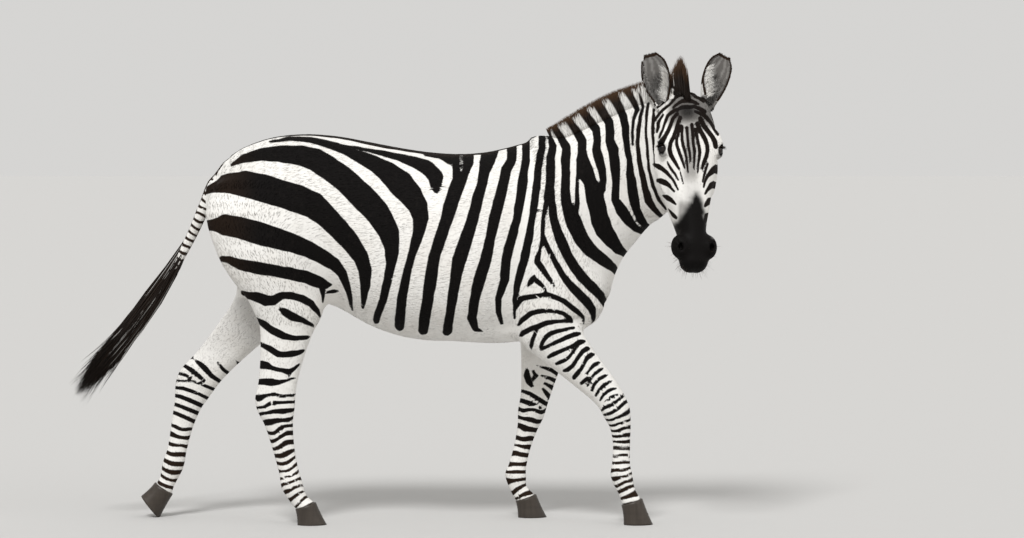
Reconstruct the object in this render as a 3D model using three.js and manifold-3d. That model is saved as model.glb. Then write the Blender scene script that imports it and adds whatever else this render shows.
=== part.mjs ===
// A plains zebra at a slow walk, life size, its head turned square to its right.
// +X is the way it walks, +Y its left side and +Z up; the floor is z = 0. Sizes are millimetres.
//
// The flesh is one smooth body: tubes along the trunk, neck, head, limbs and dock, with
// muscles and bony points added as ellipsoids, all joined by rounded unions. A signed distance
// says how far a point lies from that body. The named parts are cut from it by thin planes.
import * as THREE from "three";
import { mergeVertices } from "three/addons/utils/BufferGeometryUtils.js";
import Module from "manifold-3d";

const wasm = await Module();
wasm.setup();

// ---------------------------------------------------------------- driving sizes

const CUT = 0.5; // half the thin gap between neighbouring parts
const GAP = 0.5; // room between a piece and the one it is set on
const COARSE = 53; // size of the trunk's facets
const LEG_HIND_Y = 112; // half the track of the hind feet
const LEG_FORE_Y = 106;
const EYE_RADIUS = 19;
const HOOF_SUNK = 6; // how much of a tipped hoof is worn flat at the toe
const CORONET_TILT = 18; // how much higher the hair line is at the front of a hoof
const HOOF_TOE = 58; // from the middle of the sole forwards
const HOOF_HEEL = 46;
const HOOF_HALF_WIDTH = 41;
const EAR_LENGTH = 202;
const EAR_WALL = 6;
const MANE_CLEAR = 6; // the foot of the mane stands off the skin by this

// Each row of the barrel: x of the back line, its height, x of the belly line, its height, half width.
const TRUNK_ROWS = [
  [-662, 1168, -640, 1030, 60],
  [-598, 1256, -566, 900, 132],
  [-485, 1306, -455, 806, 196],
  [-365, 1322, -345, 762, 230],
  [-245, 1315, -240, 724, 246],
  [-140, 1296, -140, 668, 259],
  [-40, 1277, -40, 631, 267],
  [60, 1262, 60, 614, 269],
  [160, 1255, 160, 613, 262],
  [250, 1260, 250, 621, 246],
  [330, 1276, 338, 627, 220],
  [405, 1296, 430, 636, 188],
  [462, 1302, 540, 650, 160],
  [505, 1276, 620, 700, 128],
];

// Each row of the neck: the crest's point, the throat's point, half width.
const NECK_ROWS = [
  [430, 0, 1296, 628, 0, 688, 150],
  [500, 0, 1304, 676, 0, 762, 136],
  [560, 0, 1326, 697, -2, 834, 121],
  [620, -6, 1354, 726, -8, 896, 108],
  [680, -18, 1382, 768, -22, 952, 100],
  [738, -38, 1408, 808, -48, 1004, 95],
  [794, -70, 1428, 850, -82, 1038, 91],
  [846, -110, 1440, 880, -106, 1080, 87],
  [888, -145, 1440, 892, -116, 1160, 80],
];

// The head's own frame: u runs from the poll to the lips, v to its left, w out of the face.
const HEAD = { poll: [941, -200, 1457], yaw: 14, pitch: 70, roll: 2.2 };
const HEAD_ROWS = [
  // u, w of the face, w of the jaw line, half width
  [-12, -22, -120, 48],
  [30, 2, -150, 82],
  [90, 12, -178, 102],
  [150, 14, -204, 107],
  [205, 11, -218, 105],
  [270, 5, -210, 95],
  [340, -2, -190, 77],
  [410, -8, -162, 59],
  [470, -14, -140, 47],
  [516, -18, -130, 52],
  [566, -30, -116, 42],
];

// Joints of each leg from the body down, in side view, then how the foot stands.
const LEGS = {
  hindleg_right: {
    side: -1,
    kind: "hind",
    joints: [[-430, 1120], [-436, 930], [-412, 715], [-444, 404], [-394, 132], [-352, 64]],
    pitch: 0,
  },
  hindleg_left: {
    side: 1,
    kind: "hind",
    joints: [[-430, 1120], [-468, 930], [-502, 742], [-738, 446], [-815, 178], [-850, 98]],
    pitch: 52,
  },
  foreleg_right: {
    side: -1,
    kind: "fore",
    joints: [[470, 1010], [482, 820], [474, 662], [694, 398], [720, 168], [752, 76]],
    pitch: 0,
  },
  foreleg_left: {
    side: 1,
    kind: "fore",
    joints: [[470, 1010], [466, 820], [462, 650], [416, 376], [362, 140], [394, 66]],
    pitch: 0,
  },
};

// How thick a leg is: bone number and share along it, ahead and behind of the middle, half width, and how
// far out the middle lies, as a share of the track.
const LEG_PROFILE = {
  hind: [
    [0.0, 165, 236, 86, 0.76],
    [0.5, 205, 256, 104, 0.92],
    [1.0, 198, 216, 108, 1.06],
    [1.35, 178, 176, 98, 1.1],
    [1.7, 146, 138, 82, 1.1],
    [2.0, 122, 113, 68, 1.08],
    [2.2, 94, 92, 56, 1.06],
    [2.5, 74, 78, 48, 1.04],
    [2.75, 64, 72, 44, 1.02],
    [2.92, 61, 80, 43, 1],
    [3.05, 58, 72, 41, 1],
    [3.2, 48, 52, 37, 1],
    [3.45, 39, 40, 29, 1],
    [3.75, 34, 36, 28, 1],
    [4.0, 36, 41, 34, 1],
    [4.5, 29, 31, 28, 1],
    [5.0, 35, 34, 33, 1],
  ],
  fore: [
    [0.0, 105, 125, 72, 0.78],
    [0.5, 130, 145, 84, 0.94],
    [1.0, 138, 146, 84, 1.02],
    [1.6, 112, 128, 76, 1.06],
    [2.0, 94, 106, 68, 1.06],
    [2.2, 88, 86, 60, 1.05],
    [2.5, 72, 68, 52, 1.03],
    [2.8, 57, 52, 45, 1],
    [2.95, 51, 49, 44, 1],
    [3.08, 48, 48, 43, 1],
    [3.25, 37, 38, 34, 1],
    [3.5, 30, 32, 26, 1],
    [3.8, 31, 34, 27, 1],
    [4.0, 36, 41, 34, 1],
    [4.5, 30, 31, 28, 1],
    [5.0, 36, 34, 33, 1],
  ],
};

// The tail: middle line in side view and half thickness; the first rows are the dock.
const DOCK_ROWS = [
  [-612, 1196, 34],
  [-660, 1142, 30],
  [-698, 1072, 25],
  [-734, 990, 22],
  [-778, 906, 20],
  [-826, 832, 20],
];
const SWITCH_ROWS = [
  // x, height, half thickness in side view, half width
  [-826, 832, 20, 20],
  [-880, 752, 31, 26],
  [-945, 664, 37, 33],
  [-1010, 584, 38, 38],
  [-1072, 510, 34, 38],
  [-1116, 456, 22, 26],
  [-1138, 430, 8, 10],
];

// The mane: the edge of its hair and its root on the crest, half thickness.
const MANE_ROWS = [
  [404, 0, 1308, 414, 0, 1262, 8],
  [450, 0, 1332, 458, 0, 1264, 13],
  [488, 0, 1354, 504, 0, 1278, 18],
  [540, 0, 1388, 566, 0, 1304, 21],
  [600, -2, 1424, 624, -6, 1334, 22],
  [662, -8, 1457, 684, -18, 1362, 22],
  [720, -22, 1480, 742, -38, 1388, 22],
  [782, -45, 1502, 798, -70, 1408, 22],
  [838, -78, 1518, 850, -98, 1420, 20],
  [876, -124, 1524, 890, -136, 1424, 18],
  [904, -176, 1576, 916, -178, 1424, 16],
  [912, -200, 1590, 928, -198, 1426, 14],
  [930, -224, 1548, 938, -216, 1430, 11],
];

// Sizes of the meshes: facets round a part and the number of rings along it.
const HEAD_MESH = { around: 26, rings: 24 };
const NECK_MESH = { around: 26, rings: 9 };
const LEG_MESH = { around: 14, rings: 19 };

const EAR = { back: 8, outLeft: 24, outRight: 7, turned: 0.22, faces: [0.1, -1, 0.1] };
const EAR_ROOTS = { left: [14, 76, -52], right: [30, -80, -52] }; // in the head's frame
// Along the ear: half width, depth of the roll, how far round it goes, how far its middle leans forwards.
const EAR_ROWS = [
  [26, 26, 140, 0],
  [33, 32, 122, 0],
  [40, 34, 106, -3],
  [46, 32, 98, -5],
  [49, 29, 92, -4],
  [48, 24, 88, 0],
  [41, 17, 84, 5],
  [22, 9, 80, 9],
];

// ---------------------------------------------------------------- small vector sums

const add = (a, b) => [a[0] + b[0], a[1] + b[1], a[2] + b[2]];
const sub = (a, b) => [a[0] - b[0], a[1] - b[1], a[2] - b[2]];
const times = (a, k) => [a[0] * k, a[1] * k, a[2] * k];
const dot = (a, b) => a[0] * b[0] + a[1] * b[1] + a[2] * b[2];
const length = (a) => Math.hypot(a[0], a[1], a[2]);
const unit = (a) => times(a, 1 / length(a));
const cross = (a, b) => [
  a[1] * b[2] - a[2] * b[1],
  a[2] * b[0] - a[0] * b[2],
  a[0] * b[1] - a[1] * b[0],
];
const mix = (a, b, t) => a.map((v, i) => v + (b[i] - v) * t);
const radians = (degrees) => (degrees * Math.PI) / 180;

// Rows of numbers read as a smooth curve: the row at place k, where whole numbers are the rows themselves.
function rowAt(rows, k) {
  const i = Math.min(Math.max(Math.floor(k), 0), rows.length - 2);
  const t = k - i;
  const [p0, p1, p2, p3] = [i - 1, i, i + 1, i + 2].map(
    (n) => rows[Math.min(Math.max(n, 0), rows.length - 1)],
  );
  return p1.map((v, n) => {
    const m1 = (p2[n] - p0[n]) / 2;
    const m2 = (p3[n] - p1[n]) / 2;
    const t2 = t * t;
    const t3 = t2 * t;
    return (2 * t3 - 3 * t2 + 1) * v + (t3 - 2 * t2 + t) * m1 + (3 * t2 - 2 * t3) * p2[n] + (t3 - t2) * m2;
  });
}

// ---------------------------------------------------------------- distances

const FAR = 160; // beyond this a tube only gives the distance to its box

// A tube's sections from rows of top point, bottom point and half width.
function sectionsOf(rows, perRow = 3) {
  const count = (rows.length - 1) * perRow;
  const fine = Array.from({ length: count + 1 }, (_, i) => rowAt(rows, i / perRow));
  const middles = fine.map((r) => mix(r.slice(0, 3), r.slice(3, 6), 0.5));
  return fine.map((r, i) => {
    const across = times(sub(r.slice(0, 3), r.slice(3, 6)), 0.5);
    const deep = unit(across);
    const axis = sub(middles[Math.min(i + 1, count)], middles[Math.max(i - 1, 0)]);
    const side = unit(cross(deep, axis));
    return { middle: middles[i], deep, side, normal: cross(side, deep), half: length(across), wide: r[6] };
  });
}

function between(a, b, t) {
  return {
    middle: mix(a.middle, b.middle, t),
    deep: unit(mix(a.deep, b.deep, t)),
    side: unit(mix(a.side, b.side, t)),
    half: a.half + (b.half - a.half) * t,
    wide: a.wide + (b.wide - a.wide) * t,
  };
}

// How far p lies outside a section's ellipse, along the ray from its middle; beyond an end the cap is a dome.
function outside(p, s, beyond = 0, power = 2, belly = 0) {
  const rel = sub(p, s.middle);
  const v = dot(rel, s.deep) / s.half;
  const wide = s.wide * (1 - belly * Math.max(-1, Math.min(1, v)));
  const u = dot(rel, s.side) / wide;
  const flat = Math.pow(Math.abs(u) ** power + Math.abs(v) ** power, 1 / power);
  const r = Math.max(Math.hypot(flat, beyond), 1e-6);
  return length(rel) * (1 - 1 / r);
}

function boxOf(sections) {
  const low = [Infinity, Infinity, Infinity];
  const high = [-Infinity, -Infinity, -Infinity];
  for (const s of sections) {
    const reach = Math.max(s.half, s.wide);
    for (let k = 0; k < 3; k++) {
      low[k] = Math.min(low[k], s.middle[k] - reach);
      high[k] = Math.max(high[k], s.middle[k] + reach);
    }
  }
  return { low, high };
}

function toBox(p, { low, high }) {
  const out = p.map((v, k) => Math.max(low[k] - v, 0, v - high[k]));
  return length(out);
}

// The distance to a tube through these sections.
function tube(sections, { caps = [30, 30], power = 2, belly = 0 } = {}) {
  const box = boxOf(sections);
  const last = sections.length - 1;
  return (p) => {
    const far = toBox(p, box);
    if (far > FAR) return far;
    let best = Infinity;
    let behind = dot(sub(p, sections[0].middle), sections[0].normal);
    if (behind < 0) best = outside(p, sections[0], behind / caps[0], power, belly);
    for (let i = 0; i < last; i++) {
      const ahead = dot(sub(p, sections[i + 1].middle), sections[i + 1].normal);
      if (behind >= 0 && ahead < 0) {
        const s = between(sections[i], sections[i + 1], behind / (behind - ahead));
        best = Math.min(best, outside(p, s, 0, power, belly));
      }
      behind = ahead;
    }
    if (behind >= 0) best = Math.min(best, outside(p, sections[last], behind / caps[1], power, belly));
    return Math.min(best, FAR * 4);
  };
}

function ellipsoid(p, middle, radii) {
  const rel = sub(p, middle);
  const r = Math.max(Math.hypot(rel[0] / radii[0], rel[1] / radii[1], rel[2] / radii[2]), 1e-6);
  return length(rel) * (1 - 1 / r);
}

// The smaller of two distances, rounded where they meet over about k.
function joined(a, b, k) {
  const h = Math.max(k - Math.abs(a - b), 0) / k;
  return Math.min(a, b) - (h * h * k) / 4;
}

// ---------------------------------------------------------------- the flesh

// Where a leg is parted from the trunk: its section there, turned a little towards the level.
const legCut = (leg) => {
  const section = legSectionAt(leg, LEG_CUT[leg.kind]);
  return { ...section, deep: unit(mix(section.deep, [1, 0, 0], 0.55)) };
};

const trunkSections = sectionsOf(TRUNK_ROWS.map(([xt, zt, xb, zb, w]) => [xt, 0, zt, xb, 0, zb, w]));
const neckSections = sectionsOf(NECK_ROWS);
const dockSections = sectionsOf(
  DOCK_ROWS.map(([x, z, r], i) => {
    const [xa, za] = DOCK_ROWS[Math.max(i - 1, 0)];
    const [xb, zb] = DOCK_ROWS[Math.min(i + 1, DOCK_ROWS.length - 1)];
    const along = unit([xb - xa, 0, zb - za]);
    const up = [along[2], 0, -along[0]];
    return [...add([x, 0, z], times(up, -r)), ...add([x, 0, z], times(up, r)), r];
  }),
);

// The fore-and-aft direction of the hair line above a hoof whose sole is pitched by so many degrees.
const coronetSlope = (pitch) => {
  const angle = radians(pitch - CORONET_TILT);
  return [Math.cos(angle), 0, -Math.sin(angle)];
};

function legSections({ side, kind, joints, pitch }) {
  const track = side * (kind === "hind" ? LEG_HIND_Y : LEG_FORE_Y);
  const rows = LEG_PROFILE[kind].map(([place, ahead, behind, wide, out]) => {
    const [x, z] = rowAt(joints, place);
    const [xb, zb] = rowAt(joints, Math.min(place + 0.08, joints.length - 1));
    const [xa, za] = rowAt(joints, Math.max(place - 0.08, 0));
    const down = unit([xb - xa, 0, zb - za]);
    const forward = place < joints.length - 1 ? [-down[2], 0, down[0]] : coronetSlope(pitch);
    const middle = [x, track * out, z];
    return [...add(middle, times(forward, ahead)), ...add(middle, times(forward, -behind)), wide];
  });
  return sectionsOf(rows);
}

const legs = Object.fromEntries(
  Object.entries(LEGS).map(([name, leg]) => [name, { ...leg, sections: legSections(leg) }]),
);

// Axes of the head: along the face, to its left, and out of the forehead.
const headAxes = (() => {
  const [yaw, pitch] = [radians(HEAD.yaw), radians(HEAD.pitch)];
  const ahead = [Math.sin(yaw), -Math.cos(yaw), 0];
  const along = [ahead[0] * Math.cos(pitch), ahead[1] * Math.cos(pitch), -Math.sin(pitch)];
  const out = [ahead[0] * Math.sin(pitch), ahead[1] * Math.sin(pitch), Math.cos(pitch)];
  const level = [Math.cos(yaw), Math.sin(yaw), 0];
  const roll = radians(HEAD.roll);
  return {
    along: sub(times(along, Math.cos(roll)), times(level, Math.sin(roll))),
    left: add(times(level, Math.cos(roll)), times(along, Math.sin(roll))),
    out,
  };
})();
const inHead = (p) => {
  const rel = sub(p, HEAD.poll);
  return [dot(rel, headAxes.along), dot(rel, headAxes.left), dot(rel, headAxes.out)];
};
const fromHead = ([u, v, w]) =>
  add(HEAD.poll, add(times(headAxes.along, u), add(times(headAxes.left, v), times(headAxes.out, w))));

const skull = tube(sectionsOf(HEAD_ROWS.map(([u, face, jaw, w]) => [u, 0, face, u, 0, jaw, w])), {
  caps: [18, 26],
  power: 2.3,
});

// Bony points and muscles of one half of the head: middle, radii and how softly each is joined.
const HEAD_FORMS = [
  [[200, 56, -140], [120, 48, 112], 30], // jaw muscle
  [[160, 86, -24], [42, 26, 24], 26], // brow over the eye
  [[240, 80, -84], [80, 18, 16], 28], // cheek bone
  [[60, 26, -12], [60, 40, 26], 30], // temple
  [[516, 47, -56], [43, 33, 38], 18], // nostril
  [[566, 12, -72], [34, 34, 36], 18], // upper lip
  [[552, 8, -116], [36, 26, 20], 16], // chin
];

function headDistance(p) {
  const [u, v, w] = inHead(p);
  const half = [u, Math.abs(v), w];
  return HEAD_FORMS.reduce((d, [middle, radii, soft]) => joined(d, ellipsoid(half, middle, radii), soft), skull([u, v, w]));
}

// Muscles of the body that stand out of the tubes, alike on both sides: middle, radii, softness.
const BODY_FORMS = [
  [[585, 96, 770], [80, 62, 100], 50], // breast
  [[470, 118, 1010], [90, 66, 150], 70], // shoulder blade
  [[300, 0, 655], [170, 110, 40], 60], // brisket
];

const trunk = tube(trunkSections, { caps: [40, 50], power: 2.15, belly: 0.08 });
const neck = tube(neckSections, { caps: [60, 40], power: 2.1 });
const dock = tube(dockSections, { caps: [30, 12] });
const legTubes = Object.values(legs).map((leg) => tube(leg.sections, { caps: [60, 14], power: 2.1 }));

function body(p) {
  let d = joined(trunk(p), neck(p), 70);
  for (const leg of legTubes) d = joined(d, leg(p), 56);
  const half = [p[0], Math.abs(p[1]), p[2]];
  for (const [middle, radii, soft] of BODY_FORMS) d = joined(d, ellipsoid(half, middle, radii), soft);
  d = joined(d, headDistance(p), 46);
  return joined(d, dock(p), 26);
}

// ---------------------------------------------------------------- meshes and solids

function geometryOf(points, faces) {
  const geometry = new THREE.BufferGeometry();
  geometry.setAttribute("position", new THREE.Float32BufferAttribute(points.flat(), 3));
  geometry.setIndex(faces.flat());
  return geometry;
}

function solidOf(geometry) {
  const bare = geometry.clone();
  for (const name of ["normal", "uv"]) bare.deleteAttribute(name);
  const merged = mergeVertices(bare, 1e-4);
  return new wasm.Manifold(
    new wasm.Mesh({
      numProp: 3,
      vertProperties: merged.attributes.position.array,
      triVerts: new Uint32Array(merged.index.array),
    }),
  );
}

function backToGeometry(solid) {
  const mesh = solid.getMesh();
  const geometry = new THREE.BufferGeometry();
  geometry.setAttribute("position", new THREE.BufferAttribute(new Float32Array(mesh.vertProperties), 3));
  geometry.setIndex(new THREE.BufferAttribute(new Uint32Array(mesh.triVerts), 1));
  return geometry;
}

// How far from a point inside, along a direction, the surface of a distance lies.
function reach(distance, from, direction, level = 0) {
  const STEP = 5;
  let far = 0;
  while (far < 700) {
    const d = distance(add(from, times(direction, far))) - level;
    if (d > 0) break;
    far += Math.max(STEP, -d * 0.5);
  }
  let near = Math.max(0, far - 350);
  if (distance(add(from, times(direction, near))) - level > 0) near = 0;
  for (let i = 0; i < 26; i++) {
    const mid = (near + far) / 2;
    if (distance(add(from, times(direction, mid))) - level > 0) far = mid;
    else near = mid;
  }
  return far;
}

// A closed mesh from rings of points, with a middle point at each end.
function ringMesh(rings, ends) {
  const around = rings[0].length;
  const points = [...rings.flat(), ...ends];
  const faces = [];
  rings.forEach((_, i) => {
    for (let j = 0; j < around; j++) {
      const next = (j + 1) % around;
      const [a, b] = [i * around + j, i * around + next];
      if (i === 0) faces.push([points.length - 2, b, a]);
      if (i === rings.length - 1) faces.push([points.length - 1, a, b]);
      else faces.push([a, b, b + around], [a, b + around, a + around]);
    }
  });
  return geometryOf(points, faces);
}

// Rings on a distance's surface, one in the plane of each section.
function ringed(sections, distance, around, level = 0) {
  const rings = sections.map((s) =>
    Array.from({ length: around }, (_, j) => {
      const angle = (2 * Math.PI * j) / around;
      const out = unit(
        add(times(s.deep, Math.cos(angle) * s.half), times(s.side, Math.sin(angle) * s.wide)),
      );
      return add(s.middle, times(out, reach(distance, s.middle, out, level)));
    }),
  );
  return solidOf(ringMesh(rings.map((r) => [...r].reverse()), [sections[0].middle, sections.at(-1).middle]));
}

// Rings that are the sections' own ellipses.
function lofted(sections, around) {
  const rings = sections.map((s) =>
    Array.from({ length: around }, (_, j) => {
      const angle = (-2 * Math.PI * j) / around;
      return add(
        s.middle,
        add(times(s.deep, Math.cos(angle) * s.half), times(s.side, Math.sin(angle) * s.wide)),
      );
    }),
  );
  return solidOf(ringMesh(rings, [sections[0].middle, sections.at(-1).middle]));
}

// The corners and edges of a cell, and its six faces as the edges between corners in turn.
const CORNERS = [0, 1, 2, 3, 4, 5, 6, 7].map((n) => [n & 1, (n >> 1) & 1, (n >> 2) & 1]);
const EDGES = CORNERS.flatMap((a, m) =>
  [0, 1, 2].filter((axis) => !a[axis]).map((axis) => [m, m | (1 << axis)]),
);
const edgeOf = (a, b) => EDGES.findIndex(([m, n]) => m === Math.min(a, b) && n === Math.max(a, b));
const FACES = [0, 1, 2].flatMap((axis) =>
  [0, 1].map((side) => {
    const [s, t] = [1 << (axis + 1) % 3, 1 << (axis + 2) % 3];
    const base = side << axis;
    return [base, base | s, base | s | t, base | t];
  }),
);

// The crossed edges of a cell, grouped by the sheet of surface they belong to.
function sheetsOf(v) {
  const sheet = EDGES.map(([a, b], n) => (v[a] < 0 !== v[b] < 0 ? n : -1));
  const link = (a, b) => {
    const [from, to] = [sheet[a], sheet[b]];
    for (let n = 0; n < sheet.length; n++) if (sheet[n] === from) sheet[n] = to;
  };
  for (const face of FACES) {
    const edges = face.map((corner, n) => edgeOf(corner, face[(n + 1) % 4]));
    const crossed = edges.filter((n) => sheet[n] >= 0);
    if (crossed.length === 2) link(...crossed);
    if (crossed.length === 4)
      face.forEach((corner, n) => {
        if (v[corner] < 0) link(edges[(n + 3) % 4], edges[n]);
      });
  }
  return sheet;
}

// Surface nets: a point in each cell for each sheet of the surface there, and a face for each crossed edge.
function netted(distance, low, high, cell) {
  const size = low.map((v, k) => Math.ceil((high[k] - v) / cell) + 1);
  const at = (i, j, k) => [low[0] + i * cell, low[1] + j * cell, low[2] + k * cell];
  const index = (i, j, k) => (k * size[1] + j) * size[0] + i;
  const places = [];
  for (let k = 0; k < size[2]; k++)
    for (let j = 0; j < size[1]; j++) for (let i = 0; i < size[0]; i++) places.push([i, j, k]);
  const rim = ([i, j, k]) => i * j * k === 0 || i === size[0] - 1 || j === size[1] - 1 || k === size[2] - 1;
  const values = places.map((p) => (rim(p) ? cell : distance(at(...p)) || 1e-9));

  const points = [];
  const pointOn = new Map();
  for (const [i, j, k] of places) {
    if (i === size[0] - 1 || j === size[1] - 1 || k === size[2] - 1) continue;
    const v = CORNERS.map(([a, b, c]) => values[index(i + a, j + b, k + c)]);
    const sheet = sheetsOf(v);
    for (const one of new Set(sheet.filter((n) => n >= 0))) {
      const own = EDGES.map((_, n) => n).filter((n) => sheet[n] === one);
      const crossings = own.map((n) => {
        const [a, b] = EDGES[n];
        return mix(CORNERS[a], CORNERS[b], v[a] / (v[a] - v[b]));
      });
      const mean = times(crossings.reduce(add), cell / crossings.length);
      for (const n of own) pointOn.set(index(i, j, k) * 12 + n, points.length);
      points.push(settled(distance, add(at(i, j, k), mean), cell));
    }
  }

  const faces = [];
  const strides = [1, size[0], size[0] * size[1]];
  places.forEach((p, here) => {
    for (let axis = 0; axis < 3; axis++) {
      if (p[axis] === size[axis] - 1) continue;
      const inside = values[here] < 0;
      if (inside === values[here + strides[axis]] < 0) continue;
      const [s, t] = [(axis + 1) % 3, (axis + 2) % 3];
      const quad = [[1, 1], [0, 1], [0, 0], [1, 0]].map(([m, n]) => {
        const corner = (m << s) | (n << t);
        const edge = edgeOf(corner, corner | (1 << axis));
        return pointOn.get((here - m * strides[s] - n * strides[t]) * 12 + edge);
      });
      if (!inside) quad.reverse();
      faces.push([quad[0], quad[1], quad[2]], [quad[0], quad[2], quad[3]]);
    }
  });
  return solidOf(geometryOf(points, faces));
}

// A point moved onto the surface along the slope of the distance.
function settled(distance, start, most) {
  const E = 2;
  let p = start;
  for (let n = 0; n < 5; n++) {
    const d = distance(p);
    const slope = [0, 1, 2].map((k) => {
      const step = [0, 0, 0];
      step[k] = E;
      return (distance(add(p, step)) - distance(sub(p, step))) / (2 * E);
    });
    const move = times(slope, -d / Math.max(dot(slope, slope), 0.2));
    p = add(p, move);
    if (length(sub(p, start)) > most * 0.7) return start;
  }
  return p;
}

// A block whose one face lies on a plane, with its body on the side that the normal points to.
function block(point, normal, size, sideways = [0, 1, 0]) {
  const side = unit(sub(sideways, times(normal, dot(sideways, normal))));
  const basis = new THREE.Matrix4().makeBasis(
    new THREE.Vector3(...cross(side, normal)),
    new THREE.Vector3(...side),
    new THREE.Vector3(...normal),
  );
  basis.setPosition(...add(point, times(normal, size[2] / 2)));
  return solidOf(new THREE.BoxGeometry(...size).applyMatrix4(basis));
}

// The largest piece of a solid, without the crumbs that a cut may leave.
const largest = (solid) => solid.decompose().reduce((a, b) => (b.volume() > a.volume() ? b : a));

// A solid less the named parts, with a thin gap left round them.
function clearOf(solid, names, gap = GAP) {
  const shifts = [[0, 0, 0], [0, 0, gap], [0, gap, 0], [0, -gap, 0], [-gap, 0, 0], [gap, 0, 0]];
  let left = solid;
  for (const name of names) for (const shift of shifts) left = left.subtract(solids[name].translate(shift));
  return largest(left);
}

const HUGE = 3000;
// The part of a solid on the side of a plane that its normal points away from, short of it by half a cut.
const trimmed = (solid, { point, normal }) =>
  solid.subtract(block(add(point, times(normal, -CUT)), normal, [HUGE, HUGE, HUGE]));
const flipped = ({ point, normal }) => ({ point, normal: times(normal, -1) });

// ---------------------------------------------------------------- where the parts are cut

const NECK_CUT_ROW = 1.15; // place along the neck's rows
const sectionAt = (sections, k) => {
  const i = Math.min(Math.floor(k), sections.length - 2);
  return between(sections[i], sections[i + 1], k - i);
};
const planeOf = (s) => ({ point: s.middle, normal: unit(cross(s.side, s.deep)) });
const neckCut = planeOf(sectionAt(neckSections, NECK_CUT_ROW * 3));
const headCut = {
  point: fromHead([150, 0, -186]),
  normal: unit(add(times(headAxes.along, 0.37), times(headAxes.out, 0.93))),
};
const dockCut = planeOf(sectionAt(dockSections, 5));
const LEG_CUT = { hind: 2.14, fore: 2.26 }; // place along the legs' joints
const LEG_CUT_ROOM = [312, 330, 600];
const LEG_REACH = 152; // no leg spreads further than this from its middle

// The section of a leg at a place along its joints.
function legSectionAt(leg, place) {
  const rows = LEG_PROFILE[leg.kind];
  const i = Math.max(rows.findIndex((row) => row[0] > place) - 1, 0);
  const t = (place - rows[i][0]) / (rows[i + 1][0] - rows[i][0]);
  return { ...sectionAt(leg.sections, (i + t) * 3), side: [0, 1, 0] };
}

// ---------------------------------------------------------------- the named parts

const group = new THREE.Group();
const solids = {};

function finish(name, color, roughness, solid) {
  solids[name] = solid;
  const material = new THREE.MeshStandardMaterial({ color, roughness, metalness: 0 });
  const mesh = new THREE.Mesh(backToGeometry(solid), material);
  mesh.name = name;
  group.add(mesh);
}

const COAT = 0x8a8784;
const HORN = 0x2e2a27;
const HAIR = 0x2a211c;

function makeTrunk() {
  const lowest = 560;
  let solid = netted(body, [-690, -330, lowest], [760, 330, 1330], COARSE);
  solid = trimmed(solid, neckCut);
  solid = solid.subtract(block(add(dockCut.point, times(dockCut.normal, -CUT)), dockCut.normal, [90, 90, 400]));
  for (const leg of Object.values(legs)) {
    const { point, normal } = planeOf(legCut(leg));
    const corner = [point[0], leg.side * (LEG_CUT_ROOM[1] / 2 + 4), point[2]];
    solid = solid.subtract(block(add(corner, times(normal, -CUT)), normal, LEG_CUT_ROOM));
  }
  finish("trunk", COAT, 0.85, solid);
}

// The neck's rings follow its rows and then swing round the bend to the plane where the head begins.
function makeNeck() {
  const [from, to, swing] = [(NECK_CUT_ROW - 0.25) * 3, 4.6 * 3, 4];
  const straight = NECK_MESH.rings - swing;
  const sections = Array.from({ length: straight }, (_, i) =>
    sectionAt(neckSections, from + ((to - from) * i) / (straight - 1)),
  );
  const deep = unit(sub([0, 0, 1], times(headCut.normal, headCut.normal[2])));
  const end = { middle: headCut.point, deep, side: cross(deep, headCut.normal), half: 150, wide: 90 };
  for (let i = 1; i <= swing; i++) sections.push(between(sections[straight - 1], end, i / swing));
  const last = sections.at(-1);
  sections[sections.length - 1] = { ...last, middle: add(last.middle, times(headCut.normal, -CUT)) };
  finish("neck", COAT, 0.85, trimmed(ringed(sections, body, NECK_MESH.around), flipped(neckCut)));
}

// The head's rings stop a little behind the plane that parts it from the neck.
function headSolid(level = 0) {
  const behind = (p) => -dot(sub(p, headCut.point), headCut.normal) - 14;
  const closed = (p) => Math.max(body(p) - level, behind(p));
  const rows = HEAD_ROWS.map(([u, face, jaw, w]) => [u, 0, face, u, 0, jaw, w]);
  const [from, to] = [-30, 597];
  const sections = Array.from({ length: HEAD_MESH.rings }, (_, i) => {
    const u = from + ((to - from) * i) / (HEAD_MESH.rings - 1);
    const k = rows.findIndex((row) => row[0] > u);
    const low = k < 0 ? rows.length - 1 : Math.max(k - 1, 0);
    const high = k < 0 ? low : k;
    const t = high === low ? 0 : Math.min(Math.max((u - rows[low][0]) / (rows[high][0] - rows[low][0]), 0), 1);
    const row = mix(rows[low], rows[high], t);
    return {
      middle: fromHead([u, 0, (row[2] + row[5]) / 2]),
      deep: headAxes.out,
      side: headAxes.left,
      half: (row[2] - row[5]) / 2,
      wide: row[6],
    };
  });
  return ringed(sections, closed, HEAD_MESH.around);
}

const eyeMiddle = (side) => fromHead([184, side * 93, -31]);

function makeHead() {
  let solid = trimmed(headSolid(), flipped(headCut));
  for (const side of [-1, 1]) {
    const socket = new THREE.SphereGeometry(EYE_RADIUS + GAP, 14, 10).translate(...eyeMiddle(side));
    solid = solid.subtract(solidOf(socket));
    const ball = new THREE.SphereGeometry(EYE_RADIUS, 14, 10).translate(...eyeMiddle(side));
    finish(side < 0 ? "eye_right" : "eye_left", 0x120c09, 0.1, solidOf(ball));
  }
  finish("head", COAT, 0.85, solid);
}

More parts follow.
